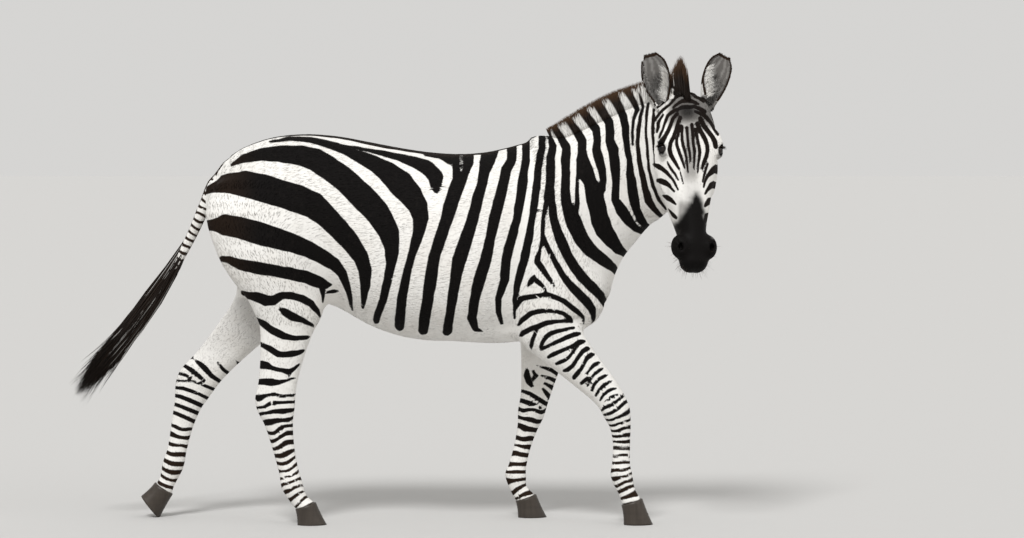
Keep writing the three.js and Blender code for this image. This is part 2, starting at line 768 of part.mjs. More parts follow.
// A hoof: the coronet's ring on the leg's last section, and the sole's outline under it.
function makeHoof(name, leg) {
  const AROUND = 16;
  const coronet = leg.sections.at(-1);
  const pitch = radians(leg.pitch);
  const forward = [Math.cos(pitch), 0, -Math.sin(pitch)];
  const up = [Math.sin(pitch), 0, Math.cos(pitch)];
  const oval = (j, ahead, behind, wide, along) => {
    const angle = (-2 * Math.PI * j) / AROUND;
    const long = Math.cos(angle) > 0 ? ahead : behind;
    return add(times(along, Math.cos(angle) * long), [0, Math.sin(angle) * wide, 0]);
  };
  const count = Array.from({ length: AROUND }, (_, j) => j);
  const below = add(coronet.middle, times(forward, 14));
  const flat = count.map((j) => add(below, oval(j, HOOF_TOE, HOOF_HEEL, HOOF_HALF_WIDTH, forward)));
  const lowest = Math.min(...flat.map((p) => p[2]));
  const drop = (lowest + (leg.pitch ? HOOF_SUNK : 0)) / up[2];
  const rim = flat.map((p) => sub(p, times(up, drop)));
  const band = count.map((j) => {
    const half = coronet.half + 3;
    return add(coronet.middle, oval(j, half, half, coronet.wide + 3, coronet.deep));
  });
  const rings = [band, rim];
  let solid = solidOf(ringMesh(rings, [coronet.middle, sub(below, times(up, drop))]));
  solid = trimmed(solid, flipped(planeOf(coronet)));
  if (leg.pitch) solid = solid.subtract(block([0, 0, 0], [0, 0, -1], [HUGE, HUGE, HUGE]));
  finish(name, HORN, 0.45, solid);
}

function makeLegs() {
  for (const [name, leg] of Object.entries(legs)) {
    const cut = LEG_CUT[leg.kind];
    const count = LEG_MESH.rings;
    const last = LEG_PROFILE[leg.kind].at(-1)[0];
    const sections = Array.from({ length: count }, (_, i) =>
      legSectionAt(leg, cut + ((last - 1e-6 - cut) * i) / (count - 1)),
    );
    sections[0] = legCut(leg);
    const down = planeOf(sections[0]).normal;
    const up = planeOf(sections.at(-1)).normal;
    sections[0] = { ...sections[0], middle: add(sections[0].middle, times(down, CUT)) };
    sections[count - 1] = { ...sections[count - 1], middle: add(sections[count - 1].middle, times(up, -CUT)) };
    const own = tube(leg.sections, { caps: [60, 200], power: 2.1 });
    const onOwnSide = (p) => 6 - p[1] * leg.side;
    const { middle, deep } = sections[0];
    const tooFar = (p) => Math.abs(dot(sub(p, middle), deep)) - LEG_REACH;
    const reachable = (p) => (p[2] < 520 ? own(p) : Math.max(body(p), onOwnSide(p), tooFar(p)));
    finish(name, COAT, 0.85, ringed(sections, reachable, LEG_MESH.around));
    makeHoof(name.replace("leg", "hoof"), leg);
  }
}

function makeTail() {
  const count = 8;
  const sections = Array.from({ length: count }, (_, i) =>
    sectionAt(dockSections, 4 + ((dockSections.length - 1 - 4) * i) / (count - 1)),
  );
  const solid = trimmed(ringed(sections, (p) => Math.min(dock(p), FAR), 12), flipped(dockCut));
  const end = planeOf(dockSections.at(-1));
  finish("tail_dock", COAT, 0.85, trimmed(solid, end));

  const rows = SWITCH_ROWS.map(([x, z, half, wide], i) => {
    const [xa, za] = SWITCH_ROWS[Math.max(i - 1, 0)];
    const [xb, zb] = SWITCH_ROWS[Math.min(i + 1, SWITCH_ROWS.length - 1)];
    const along = unit([xb - xa, 0, zb - za]);
    const up = [-along[2], 0, along[0]];
    return [...add([x, 0, z], times(up, half)), ...add([x, 0, z], times(up, -half)), wide];
  });
  finish("tail_switch", HAIR, 0.8, trimmed(lofted(sectionsOf(rows, 2), 12), flipped(end)));
}

// An ear: a leaf of even wall, rolled about its length, with its mouth forwards.
function makeEar(side) {
  const [ROWS, COLUMNS] = [8, 7];
  const root = fromHead(side > 0 ? EAR_ROOTS.left : EAR_ROOTS.right);
  const up = unit(add(times(headAxes.along, -Math.cos(radians(EAR.back))), add(
    times(headAxes.left, side * Math.sin(radians(side > 0 ? EAR.outLeft : EAR.outRight))),
    times(headAxes.out, -Math.sin(radians(EAR.back))),
  )));
  const open = unit(add([EAR.faces[0], EAR.faces[1], EAR.faces[2]], times(headAxes.left, side * EAR.turned)));
  const front = unit(sub(open, times(up, dot(open, up))));
  const across = cross(front, up);
  const sheets = [0, 1].map((inner) =>
    Array.from({ length: ROWS + 1 }, (_, i) => {
      const t = i / ROWS;
      const [wide, deep, lap, lean] = rowAt(EAR_ROWS, t * (EAR_ROWS.length - 1));
      const wall = inner * EAR_WALL * (1 - 0.5 * t);
      return Array.from({ length: COLUMNS + 1 }, (_, j) => {
        const angle = radians(lap) * ((2 * j) / COLUMNS - 1);
        const offset = add(
          times(across, Math.sin(angle) * Math.max(wide - wall, 1)),
          times(front, -Math.cos(angle) * Math.max(deep - wall, 1) + lean),
        );
        return add(add(root, times(up, t * (EAR_LENGTH - wall) + wall * 0.5)), offset);
      });
    }),
  );
  const width = COLUMNS + 1;
  const inside = (ROWS + 1) * width;
  const faces = [];
  const quad = (a, b, c, d) => faces.push([a, b, c], [a, c, d]);
  for (let i = 0; i < ROWS; i++) {
    for (let j = 0; j < COLUMNS; j++) {
      const a = i * width + j;
      quad(a, a + 1, a + 1 + width, a + width);
      quad(inside + a + width, inside + a + 1 + width, inside + a + 1, inside + a);
    }
    const [first, last] = [i * width, i * width + COLUMNS];
    quad(first, first + width, inside + first + width, inside + first);
    quad(last + width, last, inside + last, inside + last + width);
  }
  for (let j = 0; j < COLUMNS; j++) {
    const top = ROWS * width + j;
    quad(j + 1, j, inside + j, inside + j + 1);
    quad(top, top + 1, inside + top + 1, inside + top);
  }
  let solid = solidOf(geometryOf(sheets.flat(2), faces));
  if (solid.volume() < 0) throw new Error("an ear is inside out");
  finish(side < 0 ? "ear_right" : "ear_left", COAT, 0.85, clearOf(solid, ["head", "neck"]));
}

// The mane: a blade of hair whose foot stands just clear of the crest.
function makeMane() {
  const outsideBody = (p) => body(p) - MANE_CLEAR;
  const rings = MANE_ROWS.map((row, i) => {
    const [edge, root] = [row.slice(0, 3), row.slice(3, 6)];
    const [before, after] = [MANE_ROWS[Math.max(i - 1, 0)], MANE_ROWS[Math.min(i + 1, MANE_ROWS.length - 1)]];
    const along = sub(after.slice(3, 6), before.slice(3, 6));
    const side = unit(cross(sub(edge, root), along));
    const foot = (k) => {
      const start = add(root, times(side, k * row[6]));
      const up = unit(sub(edge, root));
      return add(start, times(up, reach(outsideBody, start, up)));
    };
    const [left, middle, right] = [foot(-1), foot(0), foot(1)];
    const waist = (k) => add(mix(middle, edge, 0.5), times(side, k * row[6] * 0.9));
    const tip = (k) => add(edge, times(side, k * row[6] * 0.3));
    return [middle, right, waist(1), tip(1), tip(-1), waist(-1), left];
  });
  const centre = (ring) => times(ring.reduce(add), 1 / ring.length);
  const blade = solidOf(ringMesh(rings, [centre(rings[0]), centre(rings.at(-1))]));
  finish("mane", HAIR, 0.8, clearOf(blade, ["ear_left", "ear_right"], 2.5));
}

// ---------------------------------------------------------------- build

makeTrunk();
makeNeck();
makeHead();
makeLegs();
makeTail();
for (const side of [-1, 1]) makeEar(side);
makeMane();

const bounds = new THREE.Box3().setFromObject(group);
group.position.set(-(bounds.min.x + bounds.max.x) / 2, -(bounds.min.y + bounds.max.y) / 2, -bounds.min.z);

export default group;
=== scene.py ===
"""A life-size plains zebra at a slow walk: skin, coat, mane, tail, eyes and hooves over the solids."""

import math

import bpy
import bmesh
import numpy as np
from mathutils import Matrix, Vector


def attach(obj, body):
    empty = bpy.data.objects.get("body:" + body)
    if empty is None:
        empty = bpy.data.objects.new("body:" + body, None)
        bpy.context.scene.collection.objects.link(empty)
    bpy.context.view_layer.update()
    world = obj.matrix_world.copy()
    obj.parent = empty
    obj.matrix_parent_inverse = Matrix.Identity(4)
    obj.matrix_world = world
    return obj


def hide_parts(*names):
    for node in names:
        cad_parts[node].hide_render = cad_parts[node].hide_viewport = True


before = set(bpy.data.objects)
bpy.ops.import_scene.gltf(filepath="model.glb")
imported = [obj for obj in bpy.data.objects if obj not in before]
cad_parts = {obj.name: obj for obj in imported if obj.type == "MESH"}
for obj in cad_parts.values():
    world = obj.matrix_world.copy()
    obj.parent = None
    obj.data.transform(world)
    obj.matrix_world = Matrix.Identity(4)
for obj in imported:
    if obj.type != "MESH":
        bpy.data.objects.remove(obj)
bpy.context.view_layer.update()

bl_info = {
    "name": "Plains Zebra",
    "version": (1, 0, 0),
    "blender": (4, 5, 0),
    "location": "View3D > Sidebar > Zebra",
    "description": "Skin, coat, mane, tail, eyes and hooves of a standing plains zebra",
    "category": "Add Mesh",
}

# ---------------------------------------------------------------- sizes of the body, in millimetres
# +X is the way it walks, +Y its left side, +Z up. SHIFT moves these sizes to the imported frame.
SHIFT = np.array([26.7073, 50.4193, 0.0])
MM = 0.001
TRUNK_ROWS = [
    [-662, 1168, -640, 1030, 60], [-598, 1256, -566, 900, 132], [-485, 1306, -455, 806, 196],
    [-365, 1322, -345, 762, 230], [-245, 1315, -240, 724, 246], [-140, 1296, -140, 668, 259],
    [-40, 1277, -40, 631, 267], [60, 1262, 60, 614, 269], [160, 1255, 160, 613, 262],
    [250, 1260, 250, 621, 246], [330, 1276, 338, 627, 220], [405, 1296, 430, 636, 188],
    [462, 1302, 540, 650, 160], [505, 1276, 620, 700, 128],
]
NECK_ROWS = [
    [430, 0, 1296, 628, 0, 688, 150], [500, 0, 1304, 676, 0, 762, 136], [560, 0, 1326, 697, -2, 834, 121],
    [620, -6, 1354, 726, -8, 896, 108], [680, -18, 1382, 768, -22, 952, 100],
    [738, -38, 1408, 808, -48, 1004, 95], [794, -70, 1428, 850, -82, 1038, 91],
    [846, -110, 1440, 880, -106, 1080, 87], [888, -145, 1440, 892, -116, 1160, 80],
]
HEAD = {"poll": [941, -200, 1457], "yaw": 14, "pitch": 70, "roll": 2.2}
HEAD_ROWS = [
    # u, w of the face, w of the jaw line, half width
    [-12, -22, -120, 48], [30, 2, -150, 82], [90, 12, -178, 102], [150, 14, -204, 107], [205, 11, -218, 105],
    [270, 5, -210, 95], [340, -2, -190, 77], [410, -8, -162, 59], [470, -14, -140, 47], [516, -18, -130, 52],
    [566, -30, -116, 42],
]
LEGS = {
    "hindleg_right": {
        "side": -1,
        "kind": "hind",
        "joints": [[-430, 1120], [-436, 930], [-412, 715], [-444, 404], [-394, 132], [-352, 64]],
        "pitch": 0,
    },
    "hindleg_left": {
        "side": 1,
        "kind": "hind",
        "joints": [[-430, 1120], [-468, 930], [-502, 742], [-738, 446], [-815, 178], [-850, 98]],
        "pitch": 52,
    },
    "foreleg_right": {
        "side": -1,
        "kind": "fore",
        "joints": [[470, 1010], [482, 820], [474, 662], [694, 398], [720, 168], [752, 76]],
        "pitch": 0,
    },
    "foreleg_left": {
        "side": 1,
        "kind": "fore",
        "joints": [[470, 1010], [466, 820], [462, 650], [416, 376], [362, 140], [394, 66]],
        "pitch": 0,
    },
}
LEG_PROFILE = {
    "hind": [
        [0.0, 165, 236, 86, 0.76], [0.5, 205, 256, 104, 0.92], [1.0, 198, 216, 108, 1.06],
        [1.35, 178, 176, 98, 1.1], [1.7, 146, 138, 82, 1.1], [2.0, 122, 113, 68, 1.08],
        [2.2, 94, 92, 56, 1.06], [2.5, 74, 78, 48, 1.04], [2.75, 64, 72, 44, 1.02], [2.92, 61, 80, 43, 1],
        [3.05, 58, 72, 41, 1], [3.2, 48, 52, 37, 1], [3.45, 39, 40, 29, 1], [3.75, 34, 36, 28, 1],
        [4.0, 36, 41, 34, 1], [4.5, 29, 31, 28, 1], [5.0, 35, 34, 33, 1],
    ],
    "fore": [
        [0.0, 105, 125, 72, 0.78], [0.5, 130, 145, 84, 0.94], [1.0, 138, 146, 84, 1.02],
        [1.6, 112, 128, 76, 1.06], [2.0, 94, 106, 68, 1.06], [2.2, 88, 86, 60, 1.05],
        [2.5, 72, 68, 52, 1.03], [2.8, 57, 52, 45, 1], [2.95, 51, 49, 44, 1], [3.08, 48, 48, 43, 1],
        [3.25, 37, 38, 34, 1], [3.5, 30, 32, 26, 1], [3.8, 31, 34, 27, 1], [4.0, 36, 41, 34, 1],
        [4.5, 30, 31, 28, 1], [5.0, 36, 34, 33, 1],
    ],
}
DOCK_ROWS = [
    [-612, 1196, 34], [-660, 1142, 30], [-698, 1072, 25], [-734, 990, 22], [-778, 906, 20], [-826, 832, 20],
]
SWITCH_ROWS = [
    # x, height, half thickness in side view, half width
    [-826, 832, 20, 20], [-880, 752, 31, 26], [-945, 664, 37, 33], [-1010, 584, 38, 38],
    [-1072, 510, 34, 38], [-1116, 456, 22, 26], [-1138, 430, 8, 10],
]
MANE_ROWS = [
    [404, 0, 1308, 414, 0, 1262, 8], [450, 0, 1332, 458, 0, 1264, 13], [488, 0, 1354, 504, 0, 1278, 18],
    [540, 0, 1388, 566, 0, 1304, 21], [600, -2, 1424, 624, -6, 1334, 22],
    [662, -8, 1457, 684, -18, 1362, 22], [720, -22, 1480, 742, -38, 1388, 22],
    [782, -45, 1502, 798, -70, 1408, 22], [838, -78, 1518, 850, -98, 1420, 20],
    [876, -124, 1524, 890, -136, 1424, 18], [904, -176, 1576, 916, -178, 1424, 16],
    [912, -200, 1590, 928, -198, 1426, 14], [930, -224, 1548, 938, -216, 1430, 11],
]
EAR = {"back": 8, "out_left": 24, "out_right": 7, "turned": 0.22, "faces": [0.1, -1, 0.1]}
EAR_ROOTS = {"left": [14, 76, -52], "right": [30, -80, -52]}
EAR_ROWS = [
    [26, 26, 140, 0], [33, 32, 122, 0], [40, 34, 106, -3], [46, 32, 98, -5], [49, 29, 92, -4],
    [48, 24, 88, 0], [41, 17, 84, 5], [22, 9, 80, 9],
]
HEAD_FORMS = [
    [[200, 56, -140], [120, 48, 112], 30],  # jaw muscle
    [[160, 86, -24], [42, 26, 24], 26],  # brow over the eye
    [[240, 80, -84], [80, 18, 16], 28],  # cheek bone
    [[60, 26, -12], [60, 40, 26], 30],  # temple
    [[516, 47, -56], [43, 33, 38], 18],  # nostril
    [[566, 12, -72], [34, 34, 36], 18],  # upper lip
    [[552, 8, -116], [36, 26, 20], 16],  # chin
]
BODY_FORMS = [
    [[585, 96, 770], [80, 62, 100], 50],  # breast
    [[470, 118, 1010], [90, 66, 150], 70],  # shoulder blade
    [[300, 0, 655], [170, 110, 40], 60],  # brisket
]
LEG_HIND_Y = 112
LEG_FORE_Y = 106
EYE_RADIUS = 19
EAR_LENGTH = 202
CORONET_TILT = 18

# ---------------------------------------------------------------- small sums


def vec(*values):
    return np.array(values, dtype=float)


def unit(a):
    return a / np.linalg.norm(a)


def row_at(rows, k):
    """The rows read as a smooth curve; whole numbers are the rows themselves."""
    rows = np.asarray(rows, dtype=float)
    last = len(rows) - 1
    i = int(min(max(math.floor(k), 0), last - 1))
    t = k - i
    p0, p1, p2, p3 = (rows[min(max(n, 0), last)] for n in (i - 1, i, i + 1, i + 2))
    m1, m2 = (p2 - p0) / 2, (p3 - p1) / 2
    start, end = 2 * t**3 - 3 * t**2 + 1, 3 * t**2 - 2 * t**3
    leave, arrive = t**3 - 2 * t**2 + t, t**3 - t**2
    return start * p1 + leave * m1 + end * p2 + arrive * m2


def run_along(points):
    """How far each of a line's points lies from its first."""
    steps = np.linalg.norm(np.diff(points, axis=0), axis=1)
    return np.concatenate([[0], np.cumsum(steps)])


def smooth(low, high, x):
    t = np.clip((x - low) / (high - low), 0, 1)
    return t * t * (3 - 2 * t)


def hashed(cell):
    """One well mixed whole number for each cell of a grid."""
    return (cell[:, 0] * 73856093) ^ (cell[:, 1] * 19349663) ^ (cell[:, 2] * 83492791)


def value_noise(points, size, seed):
    """Soft random numbers from -1 to 1 at points, about one bump for each size."""
    q = np.asarray(points, dtype=float) / size
    cell = np.floor(q).astype(np.int64)
    f = q - cell
    f = f * f * (3 - 2 * f)
    total = np.zeros(len(q))
    for corner in range(8):
        offset = np.array([(corner >> k) & 1 for k in range(3)])
        h = hashed(cell + offset) ^ (seed * 2654435761)
        h = (h ^ (h >> 13)) * 1274126177
        value = ((h ^ (h >> 16)) & 0xFFFF) / 32767.5 - 1
        weight = np.prod(np.where(offset == 1, f, 1 - f), axis=1)
        total += value * weight
    return total


# ---------------------------------------------------------------- distances of the body


class Tube:
    """A tube through oval sections, each given by its top point, bottom point and half width."""

    def __init__(self, rows, caps=(30, 30), power=2.0, belly=0.0, per_row=3):
        count = (len(rows) - 1) * per_row
        fine = np.array([row_at(rows, i / per_row) for i in range(count + 1)])
        self.middle = (fine[:, 0:3] + fine[:, 3:6]) / 2
        across = (fine[:, 0:3] - fine[:, 3:6]) / 2
        self.half = np.linalg.norm(across, axis=1)
        self.deep = across / self.half[:, None]
        index = np.arange(count + 1)
        axis = self.middle[np.minimum(index + 1, count)] - self.middle[np.maximum(index - 1, 0)]
        side = np.cross(self.deep, axis)
        self.side = side / np.linalg.norm(side, axis=1)[:, None]
        self.normal = np.cross(self.side, self.deep)
        self.wide = fine[:, 6]
        self.caps, self.power, self.belly = caps, power, belly
        reach = np.maximum(self.half, self.wide)[:, None]
        self.low = (self.middle - reach).min(axis=0)
        self.high = (self.middle + reach).max(axis=0)

    def outside(self, p, middle, deep, side, half, wide, beyond=0.0):
        rel = p - middle
        v = (rel * deep).sum(axis=1) / half
        u = (rel * side).sum(axis=1) / (wide * (1 - self.belly * np.clip(v, -1, 1)))
        flat = (np.abs(u) ** self.power + np.abs(v) ** self.power) ** (1 / self.power)
        r = np.maximum(np.hypot(flat, beyond), 1e-6)
        return np.linalg.norm(rel, axis=1) * (1 - 1 / r)

    def distance(self, points, far=160.0, place=None):
        """Signed distance at points; place, where given, is filled with the nearest place along the tube."""
        gap = np.maximum(np.maximum(self.low - points, points - self.high), 0)
        result = np.linalg.norm(gap, axis=1)
        near = np.flatnonzero(result <= far)
        if not len(near):
            return result
        p = points[near]
        best = np.full(len(p), far * 4)
        where = np.zeros(len(p))
        last = len(self.middle) - 1

        def offer(mask, value, at):
            better = value < best[mask]
            chosen = mask[better]
            best[chosen] = value[better]
            where[chosen] = at[better] if np.ndim(at) else at

        behind = (p - self.middle[0]) @ self.normal[0]
        m = np.flatnonzero(behind < 0)
        if len(m):
            offer(m, self.outside(p[m], self.middle[0], self.deep[0], self.side[0], self.half[0],
                                  self.wide[0], behind[m] / self.caps[0]), 0.0)
        for i in range(last):
            ahead = (p - self.middle[i + 1]) @ self.normal[i + 1]
            m = np.flatnonzero((behind >= 0) & (ahead < 0))
            if len(m):
                t = (behind[m] / (behind[m] - ahead[m]))[:, None]
                deep = self.deep[i] + (self.deep[i + 1] - self.deep[i]) * t
                side = self.side[i] + (self.side[i + 1] - self.side[i]) * t
                value = self.outside(
                    p[m],
                    self.middle[i] + (self.middle[i + 1] - self.middle[i]) * t,
                    deep / np.linalg.norm(deep, axis=1)[:, None],
                    side / np.linalg.norm(side, axis=1)[:, None],
                    self.half[i] + (self.half[i + 1] - self.half[i]) * t[:, 0],
                    self.wide[i] + (self.wide[i + 1] - self.wide[i]) * t[:, 0],
                )
                offer(m, value, i + t[:, 0])
            behind = ahead
        m = np.flatnonzero(behind >= 0)
        if len(m):
            offer(m, self.outside(p[m], self.middle[last], self.deep[last], self.side[last], self.half[last],
                                  self.wide[last], behind[m] / self.caps[1]), float(last))
        result[near] = best
        if place is not None:
            place[near] = where
        return result


def ellipsoid(p, middle, radii):
    rel = p - np.asarray(middle, dtype=float)
    r = np.maximum(np.linalg.norm(rel / np.asarray(radii, dtype=float), axis=1), 1e-6)
    return np.linalg.norm(rel, axis=1) * (1 - 1 / r)


def joined(a, b, k):
    h = np.maximum(k - np.abs(a - b), 0) / k
    return np.minimum(a, b) - h * h * k / 4


def hollowed(a, b, k):
    return -joined(-a, b, k)


# ---------------------------------------------------------------- the head's own frame


def head_axes():
    yaw, pitch, roll = (math.radians(HEAD[k]) for k in ("yaw", "pitch", "roll"))
    ahead = vec(math.sin(yaw), -math.cos(yaw), 0)
    along = ahead * math.cos(pitch) - vec(0, 0, math.sin(pitch))
    out = ahead * math.sin(pitch) + vec(0, 0, math.cos(pitch))
    level = vec(math.cos(yaw), math.sin(yaw), 0)
    return (
        along * math.cos(roll) - level * math.sin(roll),
        level * math.cos(roll) + along * math.sin(roll),
        out,
    )


ALONG, LEFT, OUT = head_axes()
HEAD_BASIS = np.array([ALONG, LEFT, OUT])
POLL = vec(*HEAD["poll"])


def in_head(points):
    return (points - POLL) @ HEAD_BASIS.T


def from_head(uvw):
    return POLL + np.asarray(uvw, dtype=float) @ HEAD_BASIS


def eye_middle(side):
    return from_head([184, side * 93, -31])


# ---------------------------------------------------------------- the tubes


def dock_rows():
    rows = []
    for i, (x, z, r) in enumerate(DOCK_ROWS):
        xa, za = DOCK_ROWS[max(i - 1, 0)][:2]
        xb, zb = DOCK_ROWS[min(i + 1, len(DOCK_ROWS) - 1)][:2]
        along = unit(vec(xb - xa, 0, zb - za))
        up = vec(along[2], 0, -along[0])
        rows.append([*(vec(x, 0, z) - up * r), *(vec(x, 0, z) + up * r), r])
    return rows


def leg_rows(leg):
    track = leg["side"] * (LEG_HIND_Y if leg["kind"] == "hind" else LEG_FORE_Y)
    rows = []
    joints = leg["joints"]
    for place, ahead, behind, wide, out in LEG_PROFILE[leg["kind"]]:
        x, z = row_at(joints, place)
        xb, zb = row_at(joints, min(place + 0.08, len(joints) - 1))
        xa, za = row_at(joints, max(place - 0.08, 0))
        down = unit(vec(xb - xa, 0, zb - za))
        forward = vec(-down[2], 0, down[0])
        if place >= len(joints) - 1:
            angle = math.radians(leg["pitch"] - CORONET_TILT)
            forward = vec(math.cos(angle), 0, -math.sin(angle))
        middle = vec(x, track * out, z)
        rows.append([*(middle + forward * ahead), *(middle - forward * behind), wide])
    return rows


TRUNK = Tube([[xt, 0, zt, xb, 0, zb, w] for xt, zt, xb, zb, w in TRUNK_ROWS], (40, 50), 2.15, 0.08)
NECK = Tube(NECK_ROWS, (60, 40), 2.1)
SKULL = Tube([[u, 0, face, u, 0, jaw, w] for u, face, jaw, w in HEAD_ROWS], (18, 26), 2.3)
DOCK = Tube(dock_rows(), (30, 12))
LIMBS = {name: Tube(leg_rows(leg), (60, 14), 2.1) for name, leg in LEGS.items()}


def mirrored(p):
    half = p.copy()
    half[:, 1] = np.abs(half[:, 1])
    return half


def head_distance(p):
    q = in_head(p)
    d = SKULL.distance(q)
    near = np.flatnonzero(d < 150)
    half = mirrored(q[near])
    e = d[near]
    for middle, radii, soft in HEAD_FORMS:
        e = joined(e, ellipsoid(half, middle, radii), soft)
    d[near] = e
    return d


def body_distance(p):
    d = joined(TRUNK.distance(p), NECK.distance(p), 70)
    for limb in LIMBS.values():
        d = joined(d, limb.distance(p), 56)
    near = np.flatnonzero((p[:, 0] > 60) & (p[:, 0] < 760) & (p[:, 2] > 500) & (p[:, 2] < 1300))
    half = mirrored(p[near])
    e = d[near]
    for middle, radii, soft in BODY_FORMS:
        e = joined(e, ellipsoid(half, middle, radii), soft)
    d[near] = e
    d = joined(d, head_distance(p), 46)
    return joined(d, DOCK.distance(p), 26)


# ---------------------------------------------------------------- ears


class Ear:
    """A leaf of skin rolled about its length, with its mouth forwards."""

    def __init__(self, side):
        self.side = side
        self.root = from_head(EAR_ROOTS["left" if side > 0 else "right"])
        back, out = math.radians(EAR["back"]), math.radians(EAR["out_left" if side > 0 else "out_right"])
        self.up = unit(-ALONG * math.cos(back) + LEFT * side * math.sin(out) - OUT * math.sin(back))
        opening = unit(vec(*EAR["faces"]) + LEFT * side * EAR["turned"])
        self.front = unit(opening - self.up * (opening @ self.up))
        self.across = np.cross(self.front, self.up)

    def point(self, t, s, inwards=0.0):
        """A point of the leaf: t from root to tip, s from -1 to 1 round the roll, inwards from its back."""
        wide, deep, lap, lean = row_at(EAR_ROWS, t * (len(EAR_ROWS) - 1))
        angle = math.radians(lap) * s
        return (
            self.root
            + self.up * (t * (EAR_LENGTH - inwards) + inwards * 0.5)
            + self.across * math.sin(angle) * max(wide - inwards, 1)
            + self.front * (lean - math.cos(angle) * max(deep - inwards, 1))
        )


def up_ear(p, ear):
    """How far up an ear points lie, from 0 at its root to 1 at its tip."""
    return (p - ear.root) @ ear.up / EAR_LENGTH


EARS = {side: Ear(side) for side in (-1, 1)}
EAR_LONG, EAR_ROUND = np.linspace(-0.06, 0.985, 70), np.linspace(-0.97, 0.97, 71)


def ear_sheet(side):
    """Points of the middle of an ear's wall, with the way that is outwards there."""
    ear = EARS[side]
    points = np.array([[ear.point(t, s, 3.2) for s in EAR_ROUND] for t in EAR_LONG])
    lean = np.array([row_at(EAR_ROWS, max(t, 0) * (len(EAR_ROWS) - 1))[3] for t in EAR_LONG])
    centre = ear.root + np.outer(EAR_LONG * EAR_LENGTH, ear.up) + np.outer(lean, ear.front)
    outward = np.cross(np.gradient(points, axis=0), np.gradient(points, axis=1))
    outward /= np.linalg.norm(outward, axis=2)[:, :, None]
    turned = np.sign((outward * (points - centre[:, None, :])).sum(axis=2))[:, :, None]
    return points.reshape(-1, 3), (outward * turned).reshape(-1, 3)


EAR_SHEETS = {side: ear_sheet(side) for side in EARS}


def nearest_on_ear(q, samples):
    squares = (samples**2).sum(axis=1)
    found = np.empty(len(q), dtype=np.int64)
    for start in range(0, len(q), 4000):
        found[start:start + 4000] = (squares - 2 * q[start:start + 4000] @ samples.T).argmin(axis=1)
    return found


def ear_distance(p, side, wall=3.4):
    """How far points lie from the ear's wall, from samples of its middle."""
    samples = EAR_SHEETS[side][0]
    low, high = samples.min(axis=0) - 30, samples.max(axis=0) + 30
    result = np.full(len(p), 60.0)
    near = np.flatnonzero(((p > low) & (p < high)).all(axis=1))
    q = p[near]
    result[near] = np.linalg.norm(q - samples[nearest_on_ear(q, samples)], axis=1) - wall
    return result


def ear_place(p, side):
    """Where points lie on an ear: from root to tip, round the roll, and how far outside the wall's middle."""
    samples, outward = EAR_SHEETS[side]
    found = nearest_on_ear(p, samples)
    t, s = EAR_LONG[found // len(EAR_ROUND)], EAR_ROUND[found % len(EAR_ROUND)]
    return t, s, ((p - samples[found]) * outward[found]).sum(axis=1)


# ---------------------------------------------------------------- the skin

# Folds and hollows of one half of the head: what is done, middle, radii and softness.
FOLDS = [
    (joined, [184, 92, -31], [31, 22, 22], 10),  # lids
    (joined, [166, 97, -20], [22, 15, 8], 7),  # fold above the eye
    (hollowed, [186, 109, -16], [17, 21, 13], 4),  # opening of the lids
    (hollowed, [525, 52, -30], [13, 7, 12], 6),  # nostril
    (hollowed, [514, 58, -36], [15, 6, 7], 6),  # slit that leads into the nostril
    (hollowed, [574, 10, -96], [40, 46, 3.0], 5),  # mouth
]


def coat_depth(p):
    """How far the skin lies under the tips of the coat."""
    q = in_head(p)
    head = smooth(-40, 60, q[:, 0]) * (q[:, 2] > -260) * (np.abs(q[:, 1]) < 160)
    low = 1 - smooth(300, 620, p[:, 2])
    return 4.2 - 2.2 * np.maximum(head, low)


def skin_distance(p):
    d = body_distance(p) + coat_depth(p)
    for side in (-1, 1):
        d = joined(d, ear_distance(p, side), 10)
    q = in_head(p)
    near = np.flatnonzero((q[:, 0] > 80) & (q[:, 0] < 620) & (np.abs(q[:, 1]) < 150)
                          & (q[:, 2] > -230) & (d < 40))
    if len(near):
        half = mirrored(q[near])
        e = d[near]
        for change, middle, radii, soft in FOLDS:
            e = change(e, ellipsoid(half, middle, radii), soft)
        d[near] = e
    return d


